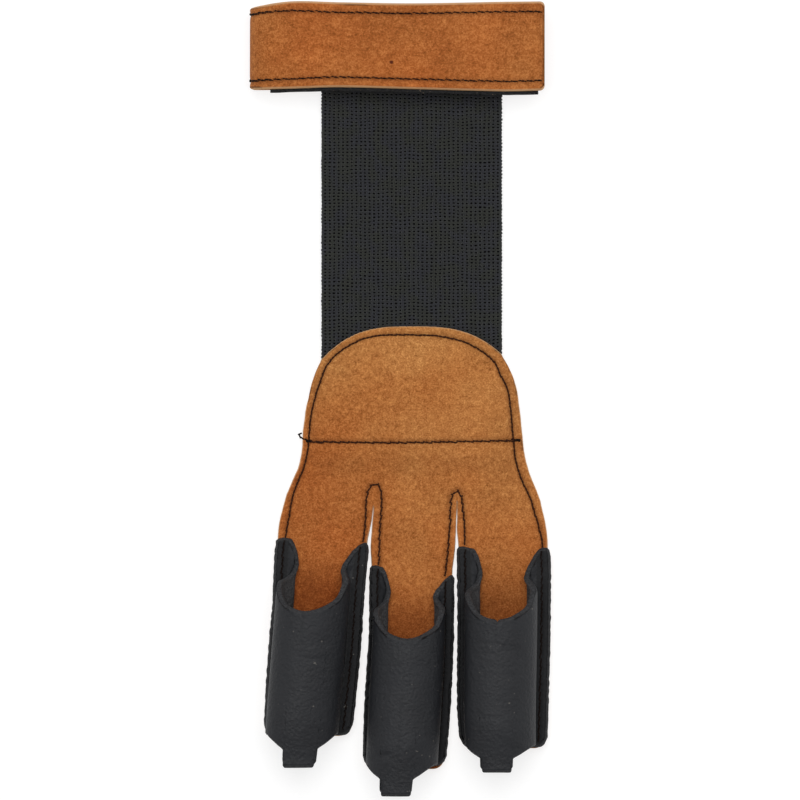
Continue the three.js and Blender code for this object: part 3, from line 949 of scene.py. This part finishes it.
strap_seam_top = 3.0 * mm
strap_seam_bottom = 2.7 * mm
strap_seam_ends = 0.6 * mm
crease_from_end = 1.25 * mm


def strap_seams(x):
    """How far the lower and the upper row of stitches lie inside the strap's edges."""
    fold = 1 - smoothstep(x - strap_low.x, 0, 18 * mm)
    return strap_seam_bottom - 0.4 * mm * fold, strap_seam_top - 0.7 * mm * fold


def strap_point(stop, t):
    """A place on the strip's middle surface, its side outwards, and how far a seam presses it."""
    x, z, across, up, cut = stop
    low, high = strap_edge_y(x)
    y = lerp(low + cut, high - cut, t)
    from_low, from_high = strap_seams(x)
    from_row = min(abs(high - from_high - y), abs(y - low - from_low))
    seam = falloff(from_row, seam_reach) if x < strap_high.x - strap_seam_ends else 0
    # A crease near the flap's cut end presses the strap too, and is painted darker as shade like the
    # seams.
    if z == flap_z:
        seam = max(seam, 0.35 * falloff(strap_high.x - crease_from_end - x, 0.35 * mm))
    ripple = 0.1 * mm * wander(x, y, 10 * mm, 11) + 0.1 * mm * wander(x, z, 30 * mm, 12)
    ripple -= 0.2 * mm * max(-up, 0)
    out = ripple - 0.26 * mm * seam
    return Vector((x + across * out, y, z + up * out)), Vector((across, 0, up)), seam


strap_stops = strap_route(0.7 * mm)
strap_rows = [0, 0.03, 0.045] + [lerp(0.06, 0.94, t) for t in shares(36)] + [0.955, 0.97, 1]
strap_points, strap_marks, strap_painted_light = [], [], []
for stop in strap_stops:
    from_middle = abs(2 * (stop[0] - strap_low.x) / strap_span - 1)
    for t in strap_rows:
        middle, _, seam = strap_point(stop, t)
        strap_points.append(middle)
        strap_marks.append(seam)
        # Painted light: the strap is painted paler towards its ends.
        strap_painted_light.append(0.22 * from_middle ** 2)
strap_quads = grid_quads(len(strap_stops), len(strap_rows))
wrist_strap = sheet_object(
    "wrist_strap_suede", strap_points, strap_quads, strap_thick, suede,
    {"seam": strap_marks, "painted_light": strap_painted_light}, 0.34,
)
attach(wrist_strap, "root")
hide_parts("wrist_strap")


# Hook-and-loop tape.
# Two strips of black tape that close the strap: the hooks are sewn under the flap, and the loops
# lie on the inner end. A little of both shows below the strap's lower edge.
tape_from_flap_end = 1.8 * mm
tape_from_fold = 5.8 * mm
tape_shows = 1.0 * mm
tape_width = 24.4 * mm
tape_half = (tape_high.z - tape_low.z) / 2
tape_parting = 0.1 * mm


def make_tape():
    """Black hook-and-loop tape: matt, with a dense coarse pile."""
    material, tree, shader, coordinates = new_material("tape", 0.9, 0.2)
    cells = node(tree, "ShaderNodeTexVoronoi", {"Vector": coordinates, "Scale": 1500.0})
    pile = maths(tree, "SUBTRACT", 1.0, cells.outputs["Distance"])
    colour = mixed(tree, pile, (0.004, 0.004, 0.004, 1), (0.02, 0.02, 0.021, 1))
    lint = spots(tree, grain(tree, coordinates, 1300, 2), 14.0, -9.4)
    colour = mixed(tree, lint, colour, (0.3, 0.22, 0.15, 1))
    surface(tree, shader, colour, pile, 0.8, 0.3 * mm)
    return material


tape = make_tape()
tape_levels = {"tape_loops": tape_low.z + tape_half / 2, "tape_hooks": tape_high.z - tape_half / 2}
tape_columns, tape_rows = shares(110), shares(24)
tape_quads = grid_quads(len(tape_columns), len(tape_rows))
for name, level in tape_levels.items():
    tape_points = []
    for along in tape_columns:
        x = lerp(strap_high.x - tape_from_flap_end, strap_low.x + tape_from_fold, along)
        bottom = strap_edge_y(x)[0] - tape_shows
        for t in tape_rows:
            y = bottom + t * tape_width + 0.12 * mm * wander(x, level, 3 * mm, 14)
            tape_points.append(Vector((x, y, level + 0.05 * mm * wander(x, y, 2 * mm, 15))))
    strip = sheet_object(name, tape_points, tape_quads, tape_half - tape_parting, tape)
    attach(strip, "root")
    if name == "tape_hooks":
        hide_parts("strap_tape")


# Finger stalls.
# Black leather, each piece bent over the fingertip's place into a tube, with its flat flanges sewn
# to the suede. The mouth is scooped out between two ears, and the tip ends in a small tab.
leather_thick = 1.6 * mm
stall_height = 15.5 * mm
side_bend = 1.6 * mm
foot_share = 0.81
ear_angle = math.radians(30)
ears_open_to = 0.22
ears_closed_at = 0.64
tab_width = 9.2 * mm
tab_shoulder = 8 * mm
tab_droop = 1.6 * mm
droop_from = 0.9
stall_z = 2 * (suede_thick + seam_gap) + leather_thick / 2
stall_seam_inset = 2.5 * mm
nick_depth = 0.6 * mm

left_mouth = table(
    "across down",
    (3, 0), (2, 0.02), (1.55, 0.11), (1.1, 0.33), (0.9, 0.53), (0.68, 0.61), (0.5, 0.74),
    (0.3, 0.915), (0.14, 0.98), (0, 1), (-0.14, 0.98),
)
right_mouth = table(
    "across down",
    (3, 0), (2.4, 0.01), (1.55, 0.21), (1.1, 0.34), (0.8, 0.47), (0.6, 0.62), (0.48, 0.8),
    (0.3, 0.915), (0.14, 0.98), (0, 1), (-0.14, 0.98),
)
tab_shoulders = table(
    "out reach", (0, 0.52), (0.1, 0.41), (0.35, 0.28), (0.65, 0.13), (1, 0),
)
mouth_left = table_curve(left_mouth, "across", "down")
mouth_right = table_curve(right_mouth, "across", "down")
shoulder = table_curve(tab_shoulders, "out", "reach")


def stall_shape(i):
    """A stall's edges and its surface. `across` runs from -3 at the left edge over 0 at the crown
    to 3 at the right edge, and `down` from the slits."""
    finger = fingers[i]
    radius = (finger["dome"] - leather_thick) / 2
    half_chord = min((radius + side_bend) * foot_share, finger["width"] / 2 - leather_thick)
    turn = math.pi - math.asin(half_chord / (radius + side_bend))
    bend_length, dome_length = turn * side_bend, turn * radius
    full_rise = (radius + side_bend) * (1 - math.cos(turn))
    squash = (stall_height - leather_thick) / full_rise
    flange = finger["width"] / 2 - half_chord
    reach = finger["length"] + finger["tab_reach"]

    def closed(side):
        """The tube's cross section, inwards and up from the inner edge of the flange."""
        if side >= 1:
            angle = (2 - side) * turn
            return side_bend * math.sin(angle), side_bend * (1 - math.cos(angle))
        angle = side * turn
        return (
            side_bend * math.sin(turn) + radius * (math.sin(turn) - math.sin(angle)),
            side_bend * (1 - math.cos(turn)) + radius * (math.cos(angle) - math.cos(turn)),
        )

    def start(across):
        """Where the scooped mouth cuts the leather off."""
        edge = mouth_left if across < 0 else mouth_right
        skew = finger["ear_skew"] * smoothstep(across, -1, 2)
        ragged = 0.3 * mm * wander(across * 3, i, 1, 21)
        if i == 2:
            ragged += nick_depth * falloff(across * dome_length, 0.4 * mm)
        corner = corner_cut((3 - abs(across)) * flange, 0.8 * mm)
        return finger["ear_top"] + skew + (mouth_depth - skew) * edge(abs(across)) + ragged + corner

    def end(across):
        """Where the leather ends at the tip, with its tab."""
        side = abs(across)
        aside = abs(across * dome_length - finger["tab_shift"]) - tab_width / 2
        if side > 2:
            return finger["length"] - corner_cut((3 - side) * flange, corner_radius)
        if side > 1:
            return finger["length"]
        if aside <= 0:
            return reach - corner_cut(-aside, 0.7 * mm)
        return finger["length"] + finger["tab_reach"] * shoulder(aside / tab_shoulder)

    def spot(across, down):
        """A place on the middle of the leather, whose ears stand open beside the mouth."""
        side = abs(across)
        left, right = finger_sides(i, down)
        sign = 1 if across < 0 else -1
        edge_x = left if across < 0 else right
        y = arch_y - root_down[i] - down
        base = stall_z + sway(edge_x, root_down[i] + down)
        if side >= 2:
            return Vector((hand_x + edge_x + sign * (3 - side) * flange, y, base))
        inwards, up = closed(side)
        arm = (2 - side) * bend_length if side >= 1 else bend_length + (1 - side) * dome_length
        depth = (down - finger["ear_top"]) / mouth_depth
        shut = smoothstep(depth, ears_open_to, ears_closed_at)
        level = up / full_rise
        high = lerp(arm * math.sin(ear_angle), up * squash, shut)
        inwards = lerp(arm * math.cos(ear_angle), inwards, shut)
        droop = tab_droop * level * smoothstep(down, finger["length"] * droop_from, reach)
        wider = (right - left - finger["width"]) / 2
        x = edge_x + sign * (flange + inwards + wider * (1 - side / 2))
        return Vector((hand_x + x + finger["lean"] * level * shut, y, base + high - droop))

    return start, end, spot, dome_length, 3 - stall_seam_inset / flange


def make_leather():
    """Black leather: a pebbled grain side, faintly blue, and a dull fuzzy flesh side. The flat
    flanges are rougher and painted darker as shade at the foot of the domes, and the cut edge is a
    little greyer."""
    material, tree, shader, coordinates = new_material("stall_leather", 0.6, 0.3)
    pebbles = node(tree, "ShaderNodeTexVoronoi", {
        "Vector": coordinates, "Scale": 1150.0, "Randomness": 1.0, "Smoothness": 0.6,
    }, feature="SMOOTH_F1").outputs["Distance"]
    fine = grain(tree, coordinates, 2400, 3)
    clouds = grain(tree, coordinates, 120, 4)
    colour = mixed(tree, clouds, (0.0078, 0.0084, 0.0102, 1), (0.0162, 0.0172, 0.0205, 1))
    # Painted shade: the flanges at the foot of the domes are painted darker.
    colour = mark_mixed(tree, "flange", 0.6, colour, (0.006, 0.006, 0.0062, 1))
    fuzz = spots(tree, grain(tree, coordinates, 1700, 3, 0.8), 3.0, -1.0)
    fuzzy = mixed(tree, fuzz, (0.011, 0.011, 0.0115, 1), (0.06, 0.059, 0.06, 1))
    colour = mixed(tree, mark(tree, "underside"), colour, fuzzy)
    rim = mixed(tree, fuzz, (0.01, 0.01, 0.0106, 1), (0.05, 0.051, 0.054, 1))
    colour = mark_mixed(tree, "cut_edge", 0.9, colour, rim)
    specks = spots(tree, grain(tree, coordinates, 800, 1), 18.0, -13.6, 0.7)
    colour = mixed(tree, specks, colour, (0.13, 0.12, 0.105, 1))
    rough = maths(tree, "MAXIMUM", mark(tree, "underside"), mark(tree, "cut_edge"))
    rough = maths(tree, "MAXIMUM", rough, maths(tree, "MULTIPLY", mark(tree, "flange"), 0.8))
    dull = maths(tree, "MULTIPLY_ADD", clouds, 0.16, 0.5)
    dull = maths(tree, "MAXIMUM", dull, maths(tree, "MULTIPLY", rough, 0.98))
    tree.links.new(dull, shader.inputs["Roughness"])
    wrinkles = grain(tree, coordinates, 460, 3)
    height = maths(tree, "MULTIPLY_ADD", fine, 0.7, maths(tree, "MULTIPLY", pebbles, 0.9))
    height = maths(tree, "MULTIPLY_ADD", wrinkles, 1.1, height)
    surface(tree, shader, colour, height, 0.5, 0.33 * mm)
    return material


leather = make_leather()


def ragged_edge(along, seed):
    """How far a roughly cut flange reaches past its line; the stitches pull notches into it."""
    notch = 0.5 + 0.5 * math.cos(2 * math.pi * along / (2.3 * mm))
    deep = 0.5 + wander(along, 0, 7 * mm, seed + 3)
    return 0.2 * mm * wander(along, 0, 1.7 * mm, seed) - 0.12 * mm * deep * notch ** 4


def creases(x, y, i):
    """Soft wrinkles that run across a stall, deepest on the middle one."""
    seed = 30 + i
    deep = 1.7 if i == 1 else 1.0
    wave = noise.noise((x / (9 * mm), y / (1.9 * mm), seed))
    where = smoothstep(noise.noise((x / (14 * mm), y / (11 * mm), seed + 5)), -0.1, 0.5)
    soft = noise.noise((x / (6 * mm), y / (7 * mm), seed))
    return deep * (-0.26 * mm * where * max(wave, 0) + 0.13 * mm * soft)


stalls = [stall_shape(i) for i in range(3)]
stall_rows = [0, 0.025] + [lerp(0.036, 0.97, t) for t in shares(84)] + [1]
seam_spread = 4.2 * mm
for i, (start, end, spot, dome_length, seam_across) in enumerate(stalls):
    finger = fingers[i]
    columns = [-3, 3]
    columns += [lerp(-2.82, -1, t) for t in shares(30)] + [lerp(1, 2.82, t) for t in shares(30)]
    columns += [lerp(-1, 1, t) for t in shares(92)[1:-1]]
    for side in (-1, 1):
        for out in (-0.05, -0.03, -0.015, 0, 0.02, 0.05, 0.1, 0.16):
            aside = finger["tab_shift"] + side * (tab_width / 2 + out * tab_shoulder)
            columns.append(aside / dome_length)
    columns.sort()
    stall_points, stall_seam, stall_flange = [], [], []
    for across in columns:
        side = 1 if across > 0 else -1
        aside = abs(across)
        seam = falloff((aside - seam_across) * seam_spread, 0.7 * mm)
        top, bottom = start(across), end(across)
        for t in stall_rows:
            down = lerp(top, bottom, t)
            point = spot(across, down)
            point.z += creases(point.x, point.y, i) - 0.3 * mm * seam
            loose = smoothstep(aside, 0.7, 1.2) * smoothstep(mouth_depth * 1.4 - down, 0, 8 * mm)
            point.z += 0.22 * mm * loose * wander(point.x, point.y, 2.4 * mm, 60 + i)
            outer = smoothstep(aside, 2.5, 3)
            point.x += side * outer * ragged_edge(down, 50 + i + side * 0.4)
            stall_points.append(point)
            stall_seam.append(seam)
            stall_flange.append(smoothstep(aside, 1.75, 2.1))
    stall_quads = grid_quads(len(columns), len(stall_rows))
    piece = sheet_object(
        f"{finger['name']}_leather", stall_points, stall_quads, leather_thick, leather,
        {"seam": stall_seam, "flange": stall_flange}, 0.45,
    )
    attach(piece, "root")
    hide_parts(finger["name"])


# Stitching.
# Black two-ply thread, sewn through all the layers, so each row shows on both faces. Every stitch
# lies in its groove, dips into a hole at each end, and slants a little.
thread = grained("thread", 0.7, 0.1, 6000, (0.003, 0.0014, 0.001, 1), (0.012, 0.0052, 0.003, 1))
thread_width = 0.5 * mm
thread_dip = 0.22 * mm
stitch_pitch = 2.27 * mm

# Brown nap dusts the thread where it crosses the suede of the hand.
dusty_dark, dusty_pale = (0.008, 0.003, 0.0015, 1), (0.06, 0.018, 0.006, 1)
dusty_thread = grained("thread_dusty", 0.7, 0.1, 6000, dusty_dark, dusty_pale)


def stitch_nodes():
    """A row of stitches along a path, each turned to the side that faces out."""
    tree, sockets, given = new_group("Stitches", (
        ("Path", "Geometry"), ("Pitch", "Float"), ("Thread", "Float"), ("Dip", "Float"),
        ("Slant", "Float"), ("Seed", "Int"), ("Thread material", "Material"),
    ))

    # Two plies are wound round one another and dip at their ends, beside a dark blob of thread sunk
    # at the hole: the thread going in, and painted shade of the hole.
    ply_radius = maths(tree, "MULTIPLY", given["Thread"], 0.3)
    wound_radius = maths(tree, "MULTIPLY", given["Thread"], 0.27)
    hole_radius = maths(tree, "MULTIPLY", given["Thread"], 0.64)
    hole_z = maths(tree, "MULTIPLY", given["Dip"], -1.0)
    line = result(tree, "GeometryNodeCurvePrimitiveLine", {
        "Start": vector(tree, maths(tree, "MULTIPLY", given["Pitch"], -0.05)),
        "End": vector(tree, maths(tree, "MULTIPLY", given["Pitch"], 1.05)),
    })
    line = result(tree, "GeometryNodeResampleCurve", {"Curve": line, "Count": 9})
    along = result(tree, "GeometryNodeSplineParameter")
    from_middle = maths(tree, "ABSOLUTE", maths(tree, "MULTIPLY_ADD", along, 2.0, -1.0))
    sunk = maths(tree, "MULTIPLY", maths(tree, "POWER", from_middle, 4.0), given["Dip"])
    parts = []
    for phase in (0.0, math.pi):
        angle = maths(tree, "MULTIPLY_ADD", along, 2.4 * math.pi, phase)
        sideways = maths(tree, "MULTIPLY", maths(tree, "COSINE", angle), wound_radius)
        upwards = maths(tree, "MULTIPLY", maths(tree, "SINE", angle), wound_radius)
        shift = vector(tree, 0.0, sideways, maths(tree, "SUBTRACT", upwards, sunk))
        ply = result(tree, "GeometryNodeSetPosition", {"Geometry": line, "Offset": shift})
        parts.append(drawn(tree, ply, ply_radius))
    ball = {"Radius": hole_radius, "Subdivisions": 1}
    hole = result(tree, "GeometryNodeMeshIcoSphere", ball)
    parts.append(result(tree, "GeometryNodeTransform", {
        "Geometry": hole, "Scale": (1.0, 0.9, 0.45),
        "Translation": vector(tree, given["Pitch"], 0.0, hole_z),
    }))

    # One such stitch is laid from each point of the path to the next.
    path = result(tree, "GeometryNodeMeshToCurve", {0: given["Path"]})
    holes = {"Curve": path, "Length": given["Pitch"]}
    path = result(tree, "GeometryNodeResampleCurve", holes, mode="LENGTH")
    kind = "FLOAT_VECTOR"
    upright = result(tree, "GeometryNodeInputNamedAttribute", {"Name": "up"}, data_type=kind)
    here = result(tree, "GeometryNodeInputPosition")
    index = maths(tree, "ADD", result(tree, "GeometryNodeInputIndex"), 1.0)
    following = {"Index": index, "Value": here}
    next_hole = result(tree, "GeometryNodeFieldAtIndex", following, data_type=kind)
    reach = vector_maths(tree, "SUBTRACT", next_hole, here)
    span = node(tree, "ShaderNodeVectorMath", {0: reach}, operation="LENGTH").outputs["Value"]
    ends = {"Start Size": 0, "End Size": 1}
    last_hole = result(tree, "GeometryNodeCurveEndpointSelection", ends)
    has_next = result(tree, "FunctionNodeBooleanMath", {0: last_hole}, operation="NOT")
    turned = result(tree, "FunctionNodeAxesToRotation", {
        0: upright, 1: reach,
    }, primary_axis="Z", secondary_axis="X")
    looseness = {2: -0.07, 3: 0.07, "Seed": given["Seed"]}
    loose = node(tree, "FunctionNodeRandomValue", looseness, data_type="FLOAT").outputs[1]
    slant = vector(tree, 0.0, 0.0, maths(tree, "ADD", given["Slant"], loose))
    slanted = result(tree, "FunctionNodeEulerToRotation", {0: slant})
    turns = {0: turned, 1: slanted}
    turned = result(tree, "FunctionNodeRotateRotation", turns, rotation_space="LOCAL")
    stretch = maths(tree, "DIVIDE", span, given["Pitch"])
    stitches = result(tree, "GeometryNodeInstanceOnPoints", {
        "Points": path, "Selection": has_next, "Instance": joined(tree, parts),
        "Rotation": turned, "Scale": vector(tree, stretch, 1.0, 1.0),
    })
    end_group(tree, stitches, given["Thread material"])
    return tree, sockets


stitch_group = stitch_nodes()


def stitched(name, paths, pitch, seed, yarn=thread, slant=-0.15):
    """Stitches along paths, each a list of places with the side that faces out."""
    places, sides, edges = [], [], []
    for path in paths:
        first = len(places)
        for point, up in path:
            places.append(point)
            sides.extend(up)
        edges += [(k, k + 1) for k in range(first, len(places) - 1)]
    mesh = bpy.data.meshes.new(name)
    mesh.from_pydata(places, edges, [])
    mesh.attributes.new("up", "FLOAT_VECTOR", "POINT").data.foreach_set("vector", sides)
    piece = fixed(linked(name, mesh), stitch_group, {
        "Pitch": pitch, "Thread": thread_width, "Dip": thread_dip, "Slant": slant, "Seed": seed,
        "Thread material": yarn,
    })
    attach(piece, "root")


# How deep the rows lie in their grooves on each kind of face, and what the ears cover of them.
front_row_depth = 0.04 * mm
under_row_depth = 0.34 * mm
flange_row_depth = 0.16 * mm
ear_covers = 0.4 * mm


def on_front(points):
    """A row on the face of the front layer, in its groove."""
    row = []
    small = 0.2 * mm
    for x, down in points:
        z = front_height(x, down)
        rise_x = (front_height(x + small, down) - z) / small
        rise_down = (front_height(x, down + small) - z) / small
        out = Vector((-rise_x, rise_down, 1)).normalized()
        place = Vector((hand_x + x, arch_y - down, z)) + out * (suede_thick / 2 - front_row_depth)
        row.append((place, out))
    return row


def on_back(points):
    """The same row on the underside, sunk in its groove off the table."""
    downwards = Vector((0, 0, -1))
    level = under_row_depth - suede_thick / 2
    return [
        (Vector((hand_x + x, arch_y - down, back_height(x, down) + level)), downwards)
        for x, down in points
    ]


def above_stall(points, i, side):
    """The part of a row that lies on the suede, before the stall's ear covers it."""
    start = stalls[i][0](side * 3)
    return [point for point in points if point.y < root_down[i] + start - ear_covers]


middle_of_edge = min(range(len(edge_seam)), key=lambda k: edge_seam[k].y)
edge_left_part = above_stall(edge_seam[:middle_of_edge], 0, -1)
edge_right_part = above_stall(edge_seam[middle_of_edge:], 2, 1)
edge_rows = [on_front(edge_left_part + edge_right_part)]
stitched("thread_hand_edge", edge_rows, stitch_pitch, 1, dusty_thread, slant=-0.04)

# At both ends a second row goes over the cross seam, half a stitch along, and locks it.
tack_first, tack_last = 2, 11
tack_shift = Vector((0, 0.2 * mm))
left_tack = [point + tack_shift for point in cross_seam[tack_first:tack_last]]
right_tack = [point - tack_shift for point in cross_seam[-tack_last:-tack_first]]
cross_rows = [on_front(row) for row in (cross_seam, left_tack, right_tack)]
stitched("thread_cross_seam", cross_rows, stitch_pitch, 2, dusty_thread)

# A knot of short black stitches closes each end of it.
knot_pitch = 0.62 * mm
knot_reach = Vector((0.9 * mm, 0))
knot_side = Vector((0, 0.14 * mm))
knot_ends = (
    (cross_seam[0] - knot_reach, cross_seam[0] + knot_reach),
    (cross_seam[-9], cross_seam[-3]),
)
knots = []
for first, last in knot_ends:
    knots.append(on_front([first + knot_side, last + knot_side]))
    knots.append(on_front([first - knot_side, last - knot_side]))
stitched("thread_knots", knots, knot_pitch, 8)

# Along the slits' edges the fingers are sewn with the same thread.
slit_rows = [on_front(path) for path in slit_seam_paths]
stitched("thread_slits", slit_rows, stitch_pitch, 3, dusty_thread)

# The thread's end is left hanging out at the left end of the cross seam.
tail_out = palm_edge(arch_to_seam, -1)
tail_pitch = 0.9 * mm
thread_tail = smooth_path([
    Vector((tail_out + 1.4 * mm, arch_to_seam - 0.2 * mm)),
    Vector((tail_out - 0.6 * mm, arch_to_seam - 0.9 * mm)),
    Vector((tail_out - 1.2 * mm, arch_to_seam - 2.0 * mm)),
    Vector((tail_out - 0.5 * mm, arch_to_seam - 2.3 * mm)),
], 0.2 * mm)
stitched("thread_tail", [on_front(thread_tail)], tail_pitch, 7)

# The stalls' rows go through to the underside, but there the outer two are the edge seam itself.
row_from_mouth = 0.9 * mm
row_from_tip = 1.6 * mm
end_of_edge = 6
under_rows = [on_back(edge_seam[end_of_edge:-end_of_edge]), on_back(cross_seam)]
flange_rows = []
for i, (start, end, spot, _, seam_across) in enumerate(stalls):
    for side in (-1, 1):
        across = side * seam_across
        top, bottom = start(across) + row_from_mouth, end(across) - row_from_tip
        row = []
        for t in shares(100):
            point = spot(across, lerp(top, bottom, t))
            point.z += leather_thick / 2 - flange_row_depth + creases(point.x, point.y, i)
            row.append((point, Vector((0, 0, 1))))
        flange_rows.append(row)
        inner_side = (i, side) not in ((0, -1), (2, 1))
        if inner_side:
            under_rows.append(on_back([(p.x - hand_x, arch_y - p.y) for p, _ in row]))
stitched("thread_stalls", flange_rows, stitch_pitch, 4)
under_rows += [on_back(path) for path in slit_seam_paths]
stitched("thread_underside", under_rows, stitch_pitch, 5)

# Both edges of the strap are sewn all the way round, up to a little way past the second fold.
inner_sewn_length = 12 * mm
sewn_rows = []
for from_top in (True, False):
    row = []
    for stop in strap_stops:
        x, z, across, up, cut = stop
        if z == flap_z and x > strap_high.x - strap_seam_ends:
            continue
        if z == strap_inner_z and up == 1 and x < strap_high.x - inner_sewn_length:
            break
        low, high = strap_edge_y(x)
        from_low, from_high = strap_seams(x)
        t = 1 - from_high / (high - low) if from_top else from_low / (high - low)
        point, out, _ = strap_point(stop, t)
        sits = 0.04 * mm if up >= 0 else -0.08 * mm
        row.append((point + out * (strap_thick / 2 + sits), out))
    sewn_rows.append(row)
stitched("thread_strap", sewn_rows, stitch_pitch, 6)


# Studio.
# The glove lies on a pale floor under a soft light from above and a weaker one at each side.
# The camera looks straight down from far away, so that the raised stalls and strap hardly shift.
floor_mesh = bpy.data.meshes.new("floor")
floor_half = 3.0
floor_corners = [(x * floor_half, y * floor_half, 0) for x, y in ((-1, -1), (1, -1), (1, 1), (-1, 1))]
floor_mesh.from_pydata(floor_corners, [], [(0, 1, 2, 3)])
floor = linked("floor", floor_mesh)
floor_paint = grained("floor_paint", 0.9, 0.1, 6, (0.3, 0.3, 0.3, 1), (0.32, 0.32, 0.32, 1))
floor_shader = floor_paint.node_tree.nodes["Principled BSDF"]
floor_shader.inputs["Emission Color"].default_value = (1, 1, 1, 1)
floor_shader.inputs["Emission Strength"].default_value = 0.74
floor_mesh.materials.append(floor_paint)

world = bpy.data.worlds.new("studio")
scene.world = world
world.use_nodes = True
world.node_tree.nodes["Background"].inputs["Color"].default_value = (1, 1, 1, 1)
world.node_tree.nodes["Background"].inputs["Strength"].default_value = 0.26

lights = table(
    "name x y z size power",
    ("top_light", 0.0, 0.3, 1.1, 0.8, 10.4),
    ("left_light", -0.9, 0.05, 0.45, 0.5, 1.8),
    ("right_light", 0.9, 0.05, 0.45, 0.5, 1.8),
)
for row in lights:
    lamp = bpy.data.lights.new(row["name"], "AREA")
    lamp.shape = "SQUARE"
    lamp.size = row["size"]
    lamp.energy = row["power"]
    stand = bpy.data.objects.new(row["name"], lamp)
    stand.location = (row["x"], row["y"], row["z"])
    stand.rotation_mode = "QUATERNION"
    stand.rotation_quaternion = (-Vector(stand.location)).to_track_quat("-Z", "Y")
    stand.visible_camera = False
    scene.collection.objects.link(stand)

# The picture shows the view width at the height of the view plane, half way up the glove.
camera_data = bpy.data.cameras.new("camera")
sensor_width = 36
view_width = 225.8 * mm
camera_height = 4.0
view_plane = 8 * mm
camera_data.sensor_width = sensor_width
camera_data.lens = sensor_width * camera_height / view_width
camera_data.clip_end = 20
camera = bpy.data.objects.new("camera", camera_data)
camera.location = (0, -0.3 * mm, camera_height + view_plane)
scene.collection.objects.link(camera)
scene.camera = camera
scene.view_settings.view_transform = "Standard"
